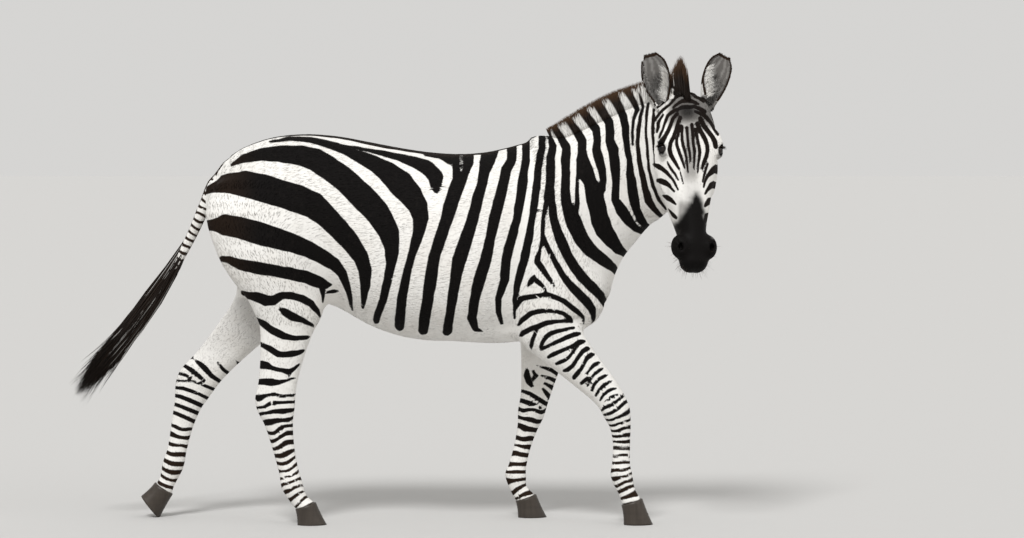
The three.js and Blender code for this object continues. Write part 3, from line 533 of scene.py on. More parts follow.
def surface_net(distance, axes, block=4):
    """Points and faces where a distance is zero, on a grid with its own spacing along each axis."""
    counts = [len(a) for a in axes]
    starts = [np.arange(0, n - 1, block) for n in counts]
    stops = [np.minimum(s + block, n - 1) for s, n in zip(starts, counts)]
    middles = [(a[s] + a[e]) / 2 for a, s, e in zip(axes, starts, stops)]
    spans = [a[e] - a[s] for a, s, e in zip(axes, starts, stops)]
    grid = np.stack(np.meshgrid(*middles, indexing="ij"), axis=-1).reshape(-1, 3)
    size = np.stack(np.meshgrid(*spans, indexing="ij"), axis=-1).reshape(-1, 3)
    close = np.abs(distance(grid)) < np.linalg.norm(size, axis=1) * 0.5 * 1.12 + 7
    blocks = np.stack(np.meshgrid(*starts, indexing="ij"), axis=-1).reshape(-1, 3)[close]
    wanted = np.zeros(counts, dtype=bool)
    for i, j, k in blocks:
        wanted[i:i + block + 1, j:j + block + 1, k:k + block + 1] = True
    values = np.full(counts, np.inf, dtype=np.float32)
    index = np.argwhere(wanted)
    points = np.stack([axes[k][index[:, k]] for k in range(3)], axis=1)
    d = np.empty(len(points), dtype=np.float32)
    for start in range(0, len(points), 200000):
        d[start:start + 200000] = distance(points[start:start + 200000])
    values[tuple(index.T)] = d
    inside = values < 0
    known = np.isfinite(values)
    total = np.zeros([n - 1 for n in counts] + [3], dtype=np.float32)
    number = np.zeros([n - 1 for n in counts], dtype=np.int32)
    crossed = []
    for axis in range(3):
        a = [slice(None)] * 3
        b = [slice(None)] * 3
        a[axis], b[axis] = slice(0, -1), slice(1, None)
        hit = (inside[tuple(a)] != inside[tuple(b)]) & known[tuple(a)] & known[tuple(b)]
        at = np.argwhere(hit)
        va = values[tuple(a)][hit].astype(float)
        vb = values[tuple(b)][hit].astype(float)
        t = va / (va - vb)
        place = np.stack([axes[k][at[:, k]] for k in range(3)], axis=1)
        place[:, axis] += t * (axes[axis][at[:, axis] + 1] - axes[axis][at[:, axis]])
        others = [k for k in range(3) if k != axis]
        for du in (0, 1):
            for dv in (0, 1):
                cell = at.copy()
                cell[:, others[0]] -= du
                cell[:, others[1]] -= dv
                fits = ((cell >= 0) & (cell < np.array(counts) - 1)).all(axis=1)
                np.add.at(total, tuple(cell[fits].T), place[fits])
                np.add.at(number, tuple(cell[fits].T), 1)
        crossed.append((axis, at, va < 0))
    used = number > 0
    name = np.full(number.shape, -1, dtype=np.int64)
    name[used] = np.arange(used.sum())
    vertices = (total[used] / number[used][:, None]).astype(float)
    faces = []
    for axis, at, opens in crossed:
        one, two = [k for k in range(3) if k != axis]
        corners = []
        for du, dv in ((1, 1), (0, 1), (0, 0), (1, 0)):
            cell = at.copy()
            cell[:, one] -= du
            cell[:, two] -= dv
            corners.append(name[tuple(np.clip(cell, 0, np.array(counts) - 2).T)])
        quad = np.stack(corners, axis=1)
        flip = opens != (axis == 1)
        quad[~flip] = quad[~flip][:, ::-1]
        faces.append(quad)
    return vertices, np.concatenate(faces)


def graded(stops):
    """Grid lines from stops of place and spacing, the spacing changing smoothly between them."""
    lines = [stops[0][0]]
    places = [s[0] for s in stops]
    steps = [s[1] for s in stops]
    while lines[-1] < stops[-1][0]:
        lines.append(lines[-1] + float(np.interp(lines[-1], places, steps)))
    return np.array(lines)


SKIN_GRID = [
    graded([(-880, 9.4), (770, 9.4), (850, 4.6), (1120, 4.6)]),
    graded([(-500, 5.6), (-170, 5.6), (-150, 4.4), (-25, 4.4), (60, 9.0), (300, 9.0)]),
    graded([(36, 9.0), (860, 9.0), (920, 6.2), (1360, 6.2), (1400, 4.4), (1640, 4.4)]),
]


def add_object(name, data):
    obj = bpy.data.objects.new(name, data)
    bpy.context.scene.collection.objects.link(obj)
    return obj


def shade_smooth(mesh):
    mesh.polygons.foreach_set("use_smooth", np.ones(len(mesh.polygons), dtype=bool))


def make_mesh(name, vertices, faces):
    mesh = bpy.data.meshes.new(name)
    faces = np.asarray(faces, dtype=np.int32)
    mesh.vertices.add(len(vertices))
    mesh.vertices.foreach_set("co", np.asarray(vertices, dtype=np.float32).ravel())
    mesh.loops.add(faces.size)
    mesh.loops.foreach_set("vertex_index", faces.ravel())
    mesh.polygons.add(len(faces))
    mesh.polygons.foreach_set("loop_start", np.arange(len(faces), dtype=np.int32) * faces.shape[1])
    shade_smooth(mesh)
    mesh.update()
    mesh.validate()
    return add_object(name, mesh)


# ---------------------------------------------------------------- courses of the stripes
# Each black stripe is a course of points on the upright stripe plane: x,y,half width of each, in its steps.
RUMP_STRIPES = [
    [232,165,1.5, 245,158.5,4.5, 262,154.5,6.5, 280,154,8.5, 300,155.5,10, 316,160,11.5, 330,169,12,
     346,181,12, 362,196,13, 378,213,12.5, 389,232,10.5, 392,250,7.2, 391,264,5.3, 388,280,4.5, 383,300,4.2,
     377.5,315,3.7, 374,330,3],
    [204,192,3, 214,188,5, 228,183.5,10, 245,184,13, 262,188,14, 280,193.5,13.5, 298,199,14, 313,205,13.3,
     326,216,11.5, 339,229,10.5, 351,243,9.5, 361,257,8, 365,270,6.8, 365.5,285,5.2, 364,298,3.4,
     363,308,1.5],
    [206,226,5, 213,225,6, 225,225,10.5, 240,228,11, 258,233,11.5, 275,238,11, 292,243,9.5, 308,249,8.5,
     322,256.5,7.5, 334,264,6.5, 342,273,5, 347,285,3.6, 350,298,2.5, 352,310,1.2],
    [222,259,3, 229,260,4, 240,264.5,5.5, 258,268,6.3, 275,271,6, 292,274,6.2, 306,277,6.5, 318,282,6.2,
     326,285,4, 331,284.5,1.5],
    [322,285,4, 323,294,2.2, 323,303,0.8], [328,292.5,1.5, 334,291.5,2.2, 338,291,1],
    [238,293,2.5, 247,295,3.5, 256,297,5.2, 266,300.5,5.5, 273,300.5,5, 282,295.5,3.7, 292,295.8,3.7,
     302,298.5,4, 311,304,3.6, 317,311,2.6, 320,317,1],
    [279,308.5,1.5, 285,312,4, 293,317,4.4, 303,320.3,2.7, 311,325,2, 314,327,1],
    [252,317,1.2, 258,320,2, 264,324.5,3.6, 273,331,4, 283,336,3.6, 295,338.5,2.6, 308,337.5,2.2, 312,337,1],
    [250,340,1.2, 258,343,2, 264,346,2.6, 271,350,3.2, 278,354.5,3.2, 284,355,3, 292,354,3, 300,352,2.6,
     307,350,1.6],
    [256,364,3, 262,365,4.3, 267,366,4, 272,368.5,2.5, 280,370,2.2, 288,372,3, 294,369,2, 300,364.5,1.8,
     306,361,1],
    [254,383,2, 260,382,3, 265,382,3.6, 271,382.5,4, 278,383,2.6, 285,381,1.7, 292,379,1.5, 300,378,1.2],
]
FLANK_STRIPES = [
    [270,142,1, 290,139,2.5, 310,140,3, 330,145,4, 345,150,4.5, 358,156,6, 375,164,8, 388,172,10.5,
     400,183,13, 410,194,12, 418,206,10, 421,218,8, 419,232,6, 414,248,4.8, 410.4,260,3.9, 405.5,280,4.6,
     401.8,300,5, 400.2,316,5.2, 399,332,4.5, 399,338,3],
    [345,146,1.2, 365,149.5,2, 385,154,3, 400,157.5,4, 415,162.5,5.7, 428,168,7.5, 436,177,7.5, 436,185,6,
     436,192,2.5],
    [425,154,2.5, 440,156,3, 450,160,5],
    [463,150,11, 463,161,11, 461,172,8.5, 459.8,180,7, 455,192,7.2, 450.5,206,7.2, 446.7,220,6.1,
     439.7,240,6, 433.7,260,5.8, 430.8,280,6.5, 427.6,300,5.7, 424.5,320,5.8, 422.5,336,4.8, 422,342,3],
    [492,145,8, 490,153,8, 487,162,7.5, 484.5,172,5.5, 482,184,5.2, 477.5,200,5.8, 472.5,220,5.9,
     466,240,6.8, 459.1,260,7.2, 455.3,280,5.6, 452.3,300,4.9, 449,320,4.8, 447,336,4.8, 446.5,341,3.5],
    [512,142,5, 512,150,5, 511.6,160,5, 506.5,170,5.3, 504.2,180,5.2, 500,198,5.7, 494.3,220,5.9,
     490.1,240,5.2, 486,260,5.8, 479.2,280,6.2, 474.7,300,5.2, 472,318,4.8, 476,330,3.2, 486,332.5,1],
    [526,140,4, 526,150,4, 526,160,4, 524.3,170,4.2, 523,180,5, 520.5,198,5, 516.6,220,4.2, 511.3,240,5,
     506,260,4.9, 504.5,280,4.8, 498.5,298,3.4, 498.5,312,3, 502,324,1.8],
    [542,138,3.6, 542,148,3.6, 539.5,160,3.8, 538,170,3.9, 537.4,180,3.9, 535,200,4, 532,220,3.6,
     528.5,240,4.2, 524.4,260,4.6, 518.3,280,3.9, 514.8,300,2.4, 514.5,318,1.4],
]
SHOULDER_STRIPES = [
    [548,128,2.5, 550,138,2.5, 553,147,4, 550.5,158,4.5, 550.5,172,4.8, 550,186,4.7, 549.5,198,6],
    [548,200,3, 545.5,206,2.5, 543.5,218,2, 542.5,232,2.2, 542.5,240,2.4, 540,250,1.6, 538,257,3,
     537.5,262,3.6, 541,267,3.4, 545.5,273.5,2.9, 550,280,2.4, 554,286,1.3],
    [543,236,2.2, 547,246,2.6, 550,252,2.8, 554,260,2.8, 558.5,268,3, 563,276,3.3, 569,284,3.9, 577,292,4.5,
     586,301,4.8, 592,309,4, 593.5,316,2.5, 594,322,2.2, 590,326,2.5, 586,329,1.5],
    [551,200,4, 552,205,4, 554,220,4.5, 557.5,232,5, 562.5,244,5.3, 568,256,5.3, 575,268,5.2, 584,279,5.3,
     593,288,5.2, 600,295,4.5, 604,302,3.5, 607,305,3.8, 606,311,2],
    [534,276,1.8, 531.5,281,3.4, 529,284.5,2.2, 527,286.5,0.8],
    [534,278,2, 538.5,282.5,2.8, 543.5,287,1.8, 546,291,1.4, 547,295,1.8],
    [515.5,309,1.5, 518,303,2.5, 522,298.5,3, 530,297,2.6, 538,295.8,2.5, 547,295,3, 556,297.5,2.6,
     563,301,2.7, 571,306.5,2.7, 578,312,2.7, 583,317,1.9, 584,324,1.5, 585,329,1.2],
    [518.5,325,1.5, 522.5,320,2.6, 530,314,2.8, 538,311.3,2.5, 547,311,2.3, 556,311.3,2, 564,313.5,2.3,
     569,318,2.5, 572,321.5,1.5],
    [519.5,337,2.2, 524,332.5,2.8, 531,329,2.6, 538,327,2.8, 546,323.5,2.9, 554,321.8,2.2, 563,321.2,1.9,
     572,321.5,1.8],
    [537.5,329,1.5, 535,335,2, 532.5,340,2.2, 531,346,2, 531,349,1],
    [541,347.5,1.8, 543,342,2.2, 546,337,2.5, 551,333.5,2.5, 558,331,2.2, 566,329.5,1.9, 574,328,1.6],
    [541,350,1.3, 546,347.5,1.7, 552,344.5,2, 559,341,2.4, 566,338,2.5, 573,335.5,2.6, 580,333.5,2.6,
     588,332,2],
    [548.5,357.5,1.8, 553,355,2.6, 559,352,2.3, 566,349,2.1, 573,346,2, 579,342.5,2.6, 586,341,2.8,
     594,339,2],
    [556,364.5,1.5, 561,362.5,2.1, 566,360,2.1, 570,356.5,1.8, 574,351,1.6, 578,346,1.4, 581,342,1],
    [564,371,1.65, 568,370,2.35, 573,366,2.15, 576,361.5,2.05, 579,356.5,2.15, 583,351.5,2.55,
     588,348.5,2.85, 592,347.5,2.35, 599,345,1.95],
    [574,378,2.35, 578,373,2.55, 581,369,1.85, 584,364,1.75, 587,358.5,2.25, 592,354.5,2.95, 597,353.5,2.75,
     605,350,2.15],
    [581,384,1.85, 586,380,2.35, 588.5,377.5,1.55],
    [586,374,1.3, 590,369.5,1.5, 594,365.5,2, 599,362.5,2.7, 604,361.5,2.4, 611,358,2],
    [588,386,1.5, 590.5,379.5,1.5, 595,374,1.7, 600,370,2, 605,367.5,2.2, 611,366,2, 617,364,1.6],
    [592,391,1.6, 594.5,385,1.6, 599,379.5,1.8, 605,376,2.1, 611,374,2.1, 618,372,1.9],
    [596,396,1.6, 599,390.5,1.7, 604,385.5,1.9, 610,382,2, 616,380.5,2.2, 624,378,2],
    [600,401,1.6, 603,396,1.6, 608,391.5,1.9, 614,389,2, 620,388,2.2, 629,386,1.9],
    [604,406,1.6, 607,401.5,1.6, 612,397.5,1.9, 618,395.5,2, 624,395,2.3, 631,395,1.9],
]
NECK_STRIPES = [
    [550,119,3, 555,129,3.5, 561,138,4, 566.5,148,4.5, 565.5,160,4.8, 565.8,175,4.4, 565.3,190,4.8,
     566.5,204,5.5, 572,217,8, 577,230,8, 582,240,7.5, 590,250,7, 599,257,6.2, 607,263,5.5, 614,269,4,
     618,275,2],
    [562,110,3, 569,121,3.5, 576,131,4.2, 582,141,4.8, 582,150,4.5, 582.5,160,6.5, 584.5,170,8.5,
     590,182,6.5, 594.5,192,9.5, 595,200,9, 598,210,9, 600,220,9.5, 604,230,9, 611,240,7.5, 618.5,249,5.5,
     625,254,3.5, 630,258,2],
    [578,172,2, 577.5,180,1.8, 577,190,2, 577.5,202,2.5, 576,212,3],
    [576,102,3.5, 582,111,4, 589,120,4.5, 596,130,4.3, 597,141,3.8, 596.5,150,4.5, 599,160,5, 602,170,4.4,
     603,180,3.5, 603,190,3],
    [590,94,4, 597,104,5, 603,113,5, 609,123,4.5, 610,133,4.5, 609.5,141,4.5, 613,150,5.5, 614.5,160,5.2,
     615.5,172,4.8, 616,182,4, 615.5,200,4, 622,211,6, 628,220,5.2, 635,228,3.5, 641,231,3.2, 650,233,2],
    [607,88,4, 613,98,4.5, 619,107,4.5, 623,117,4, 625,127,4, 626,140,3.4, 627,150,3.2, 629.5,160,3,
     630,172,4, 631,180,4.8, 632.5,190,5.2, 634,200,5.3, 636.5,210,4.2, 641,220,4.2, 645.5,226,3.4,
     652,229,2],
    [621,82,3, 627,92,3.5, 633,101,3.5, 637,110,2.5, 633,120,1.7, 632,132,1.5, 632.5,145,1.3],
    [640,96,2, 643,108,1.6, 640,118,2, 638,130,2.3, 637.5,145,2, 639,160,2.6, 642,175,3, 645.5,190,3.4,
     648.5,201,4, 654,209,3.2, 662,217,2],
    [648,104,1.6, 646,118,1.4, 645.5,130,1.4, 647,150,1.5, 649,170,1.6, 653,186,1.8, 659,200,1.8,
     666,209,1.2],
    [655,104,2, 653,118,1.8, 652.5,130,1.7, 654,150,1.8, 656.5,168,2, 661,182,2.2, 668,196,1.4],
    [663,104,2, 661,122,1.8, 661,140,1.8, 663,158,2, 668,174,2],
]
# The face: thin stripes that fan out over the forehead, bars on the cheeks, bows between the ears.
FACE_STRIPES = [
    [684,70,3, 684,80,3.4, 684.5,90,3.4, 685.5,98,2],
    [673,108,0.8, 675,106,1, 679,103,1.3, 682,101.5,1.7, 686,101,1.9, 691,101.5,1.7, 695,103,1.3,
     698,104.5,0.8],
    [669,105.5,0.9, 672,102,1, 675,98,1.4, 679,95,1.9, 683,95,2],
    [657,108,0.8, 661,104.5,1.1, 665,101,1.3, 668,98,1.3, 671,95,1.2, 674,92,1.3, 679,88,1.8],
    [688,91,1, 692,94,1.6, 695,97,1.3, 699,99,1.1, 703,102,1], [694,91,0.8, 700,97,1, 705,101,1, 709,105,1],
    [676,111,1, 681,108,1.6, 685,107.5,1.8, 690,107.5,1.6, 694,107,1.2, 699,109,1.7, 704,112,2],
    [695,112,1, 700,114,1.3, 704,116,1.6, 708,121,1.2],
    [652,124,0.8, 657,117,1.1, 660,113,1.1, 663,110,1.1, 668,106,1],
    [656.5,133,0.9, 658,127.5,1.4, 657.7,124,1.4, 660,119.5,1, 663,115,0.7],
    [659,138,0.8, 660.5,134,1.1, 662.5,130,0.9, 664,125,0.9, 665.5,121,1.2, 667.5,116,1.3, 671,113,1.6,
     676,110,1.4],
    [659,143,1.6, 661.5,142,2.8, 665,136.5,1.9, 668,131,1.8, 670.5,125,1.6, 672.5,119,1.4, 677,114,1.4],
    [679.5,170,0.8, 677,166,1.3, 674,161,1.7, 671,156,2, 669.3,150,2, 670.3,143,1.7, 673.5,137,1.8,
     676,130,1.8, 677.5,124,1.5, 680,118,1.6],
    [684.5,168,0.7, 682.5,162,1.2, 680.3,156,1.4, 678.5,151,1.5, 676.5,145,1.4, 676.3,140,1.2,
     678.5,132,1.3, 680,126,1.5],
    [688,174,0.5, 687,165,0.9, 686,157,1, 684.5,151,1.3, 683,146,1.4, 681.8,140,1.4, 681.6,134,1.2,
     682,127,1.3],
    [690.3,163,0.7, 689.5,153,1.1, 688,146,1.2, 687.4,138,1.1, 686.5,128,1.3],
    [693.5,170,0.6, 694,160,1, 694.3,152,1.3, 693,144,1.3, 692.3,134,1.3, 691.5,125,1.5],
    [697.5,173,0.6, 698,164,1, 699,158,1.3, 699.6,152,1.5, 698.6,146,1.4, 697,139,1.3, 695.5,130,1.7],
    [701.5,170,0.9, 703.5,163,1.7, 706,157,1.9, 707.3,151,1.8, 707,146,1.8, 705,140,2.1, 702.3,135,2.1,
     699.5,130,2, 697,124,2],
    [700,119,2, 704,127,2.2, 708,132,2.1, 712,137,2.1, 714.5,142,2.4, 715.5,147,2.2],
    [706,117,1.3, 711,124,1.4, 714.5,130,1.6, 717.5,135,1.1],
    [711,112,1.1, 714,120,1.3, 717,127,1.3, 719.5,133,1],
    [667,162,0.6, 669,166,1, 671.5,170,1.2, 675,174.5,1, 678,180,0.7],
    [670,176,0.6, 673,180,1, 675.5,185,1, 678,190,0.6], [680,172,0.5, 681.5,178,0.6, 683,184,0.4],
    [707.5,164,0.9, 705.5,170,1.1, 703.7,176,1, 702.5,182,0.7],
    [652,168.5,1.2, 655.5,168,2, 658.5,168.3,2.7, 662,169.7,2.3, 666,172.5,2, 669,175.5,1.4, 672,179,1,
     675,184,0.7],
    [655.5,187,1.2, 657.5,184,2.3, 661,183,2.9, 665,184,3, 668.5,185.7,2.2, 671,188.5,1.2, 674,191.5,0.9],
    [661,199.5,1.2, 664,200,2.3, 667,200,3.1, 670,200.7,2.6, 673,202.7,1.8, 675.5,204.5,0.8],
    [668,212.5,1, 671,215.3,1.9, 673.7,217.5,2.4, 675.5,218.7,1.8],
    [722,164,2.6, 717,167,2.9, 713.5,170,3.1, 710.5,173,2.4, 707.5,176,1.6, 705,181,1.1, 703.5,187,0.8],
    [720,183,2.8, 714.5,184,3.1, 711.5,185.5,2.9, 709.3,187.7,2, 707,190.5,1.3, 705,194,0.8],
    [715,199.5,2.6, 709.5,201,3, 707.5,203,2.4, 705,206,1.2],
    [710,214,1.6, 706.5,215.5,2, 706,219,2, 705,222,1.4],
]
# White clefts inside black stripes.
CLEFTS = [
    [461.5,150,1.6, 461.5,166,1.6, 461,171,0.6],
]
# The far legs have their own courses, given where they stand.
FAR_HIND_STRIPES = [
    [208,339,1, 217,337,1.8, 226,336,1], [223,340,1, 228,348,1.3, 232,356,1.3, 240,366,1.8, 246,372,1.6],
    [200,350,1.8, 207,350,2.6, 213,353,2.4, 217,362,1.8, 223,370,1.8, 231,375.5,2, 238,379,2],
    [188,356,1.6, 194,359,2.4, 200,364,3, 205,369,3, 211,376,2.4, 220,382,2, 230,388,1.8],
    [179,363,1.4, 186,367,2, 192,371,2.6, 198,376,2.4, 204,381,1.6], [176,373,1.4, 184,375,1.8, 190,378,1.6],
    [174,381,1.4, 184,381.5,1.4, 194,382,1.4, 202,385,1.6, 212,389,1.8, 224,395,1.4],
    [172,387.5,1.6, 182,388.5,2, 190,391,2, 199,394.5,1.8, 208,399,1.8, 218,404,1.6],
    [170,394.5,1.6, 180,397,2.2, 189,400.5,2.4, 199,405,2.4, 212,411,1.8],
    [168,403,1.6, 177,405.5,2, 186,409,2.2, 196,413,2.2, 206,418,1.8],
    [166,411,1.6, 175,413.5,2, 184,417.5,2.2, 195,422.5,2.2, 204,427,1.6],
]
FAR_FORE_STRIPES = [
    [527,370,2, 527,376,3.5, 529,382,3.2, 532,386,2.2], [533,371,1.5, 536,376,2.2, 533,380,1.6],
    [537,366,1, 545,368,1.6, 552,370.5,2.2, 559,374.5,2.6, 566,379,2],
    [541,376,1.2, 549,378,1.8, 556,381.5,2.4, 563,386,2], [544,383,1.2, 551,387,2.2, 556,391,2.6, 561,395,2],
    [543,389,1.4, 547,394,2.4, 551,399,2.6],
    [515,391,1.6, 523,391.5,1.8, 530,394,2.2, 538,399,2.4, 546,404,2.4, 553,407,2],
    [514,400,1.8, 522,401,2.4, 531,404,2.6, 540,409,2.4, 550,414,2],
]
MUZZLE_PATCH = [
    [696,194,1.5, 696,200,5, 695.5,206,7.5, 694.5,214,10.5, 692.5,224,13.5, 692,232,18, 692,240,22,
     692,252,24, 692,268,22],
]

# ---------------------------------------------------------------- markings

CAMERA_TARGET = vec(347, 0, 860)
CAMERA_DISTANCE = 14500
CAMERA_RISE = 3.5
SENSOR_WIDTH, PICTURE_WIDTH = 36, 1024
STRIPE_UNIT = 3.4  # the stripes' courses are given in steps of this many millimetres
STRIPE_ORIGIN = (410, 522)  # where the body's own origin falls on the stripe plane


def stripe_plane(p, both_sides=True):
    """Where points fall on the upright plane in which the stripes' courses are given."""
    y = -np.abs(p[:, 1]) if both_sides else p[:, 1]
    near = CAMERA_DISTANCE / (CAMERA_DISTANCE + y)
    rise = math.radians(CAMERA_RISE)
    x = (p[:, 0] - CAMERA_TARGET[0]) * near
    z = (y * math.sin(rise) + (p[:, 2] - CAMERA_TARGET[2]) * math.cos(rise)) * near
    across = STRIPE_ORIGIN[0] + (x + CAMERA_TARGET[0]) / STRIPE_UNIT
    down = STRIPE_ORIGIN[1] - (z + CAMERA_TARGET[2]) / STRIPE_UNIT
    return np.stack([across, down], axis=1)


def stroke_distance(q, strokes):
    """Signed distance of plane points to the nearest of the strokes, in millimetres."""
    best = np.full(len(q), 60.0)
    for stroke in strokes:
        s = np.asarray(stroke, dtype=float).reshape(-1, 3)
        low, high = s[:, :2].min(axis=0) - 22, s[:, :2].max(axis=0) + 22
        near = np.flatnonzero(((q > low) & (q < high)).all(axis=1))
        if not len(near):
            continue
        p = q[near]
        d = np.full(len(near), 60.0)
        for a, b in zip(s[:-1], s[1:]):
            ab = b[:2] - a[:2]
            t = np.clip(((p - a[:2]) @ ab) / max(ab @ ab, 1e-9), 0, 1)
            gap = np.linalg.norm(p - a[:2] - t[:, None] * ab, axis=1)
            d = np.minimum(d, gap - (a[2] + (b[2] - a[2]) * t))
        best[near] = np.minimum(best[near], d)
    return best * STRIPE_UNIT


def ring_distance(along, across, p, seed, widest, narrowest, share, bend, length=620.0):
    """Signed distance to the rings of a lower leg: along is measured down it, across from back to front."""
    gap = widest + (narrowest - widest) * np.clip(along / length, 0, 1)
    # The number of rings passed so far, while they grow narrower.
    rate = (widest - narrowest) / length
    turns = np.log((widest - rate * np.clip(along, 0, length)) / widest) / -rate if rate else along / widest
    turns = (turns + bend * across / gap
             + 0.30 * value_noise(p, 46, seed) + 0.10 * value_noise(p, 24, seed + 1))
    from_middle = np.abs(turns - np.floor(turns) - 0.5) * gap
    return from_middle - gap * (share + 0.06 * value_noise(p, 60, seed + 2))


HEAD_PLANE_POINT = from_head([150, 0, -186])
HEAD_PLANE_NORMAL = unit(ALONG * 0.37 + OUT * 0.93)
LEG_CODES = ("hindleg_right", "hindleg_left", "foreleg_right", "foreleg_left")


def limb_place(name, p):
    """Distance to a leg, how far down it from its top, how far across it, and how far sideways."""
    limb = LIMBS[name]
    place = np.zeros(len(p))
    d = limb.distance(p, place=place)
    run = run_along(limb.middle)
    along = np.interp(place, np.arange(len(run)), run)
    index = np.clip(place.round().astype(int), 0, len(run) - 1)
    rel = p - limb.middle[index]
    sideways = (rel * limb.side[index]).sum(axis=1) / limb.wide[index]
    return d, along, (rel * limb.deep[index]).sum(axis=1), sideways


# The rings of each leg: height at which they begin, widest and narrowest step, black share each side, slope.
RINGS = {
    "hindleg_right": (455, 30, 21, 0.24, 0.12),
    "hindleg_left": (322, 31, 23, 0.25, 0.02),
    "foreleg_right": (424, 23, 24, 0.26, 0.05),
    "foreleg_left": (385, 33, 24, 0.27, 0.12),
}


MIRROR_X, MIRROR_RATE = 666, 0.75  # beside the far cheek the courses of the neck come back from here
BACK_LINE_X = [-640, -560, -300, -120, 60, 300, 420]
BACK_LINE_HALF = [14, 18, 46, 62, 56, 34, 22]
CHEEK_END = 716  # the bars of the left cheek are read no further than this
# Soft patches of the face on the stripe plane, each edge from none to full: the smudge between the ears, grey
# along the bridge, the strip over the muzzle, the crown, and the middle of the forehead.
SMUDGE_MIDDLE, SMUDGE_SIZE = (687, 112), (13, 10)
BRIDGE_X, BRIDGE_TOP = 692, (150, 205)
STRIP_TOP, STRIP_END, STRIP_START = (196, 206), (692, 689), (676.5, 680.5)
CROWN_FOOT, CROWN_START = (134, 118), (663, 674)
MIDDLE_X, MIDDLE_TOP, MIDDLE_FOOT = 690.5, (116, 126), (192, 172)
LIDS = ([187, 106, -18], [22, 17, 15])
POUCH = ([207, 102, -20], [10, 16, 14])


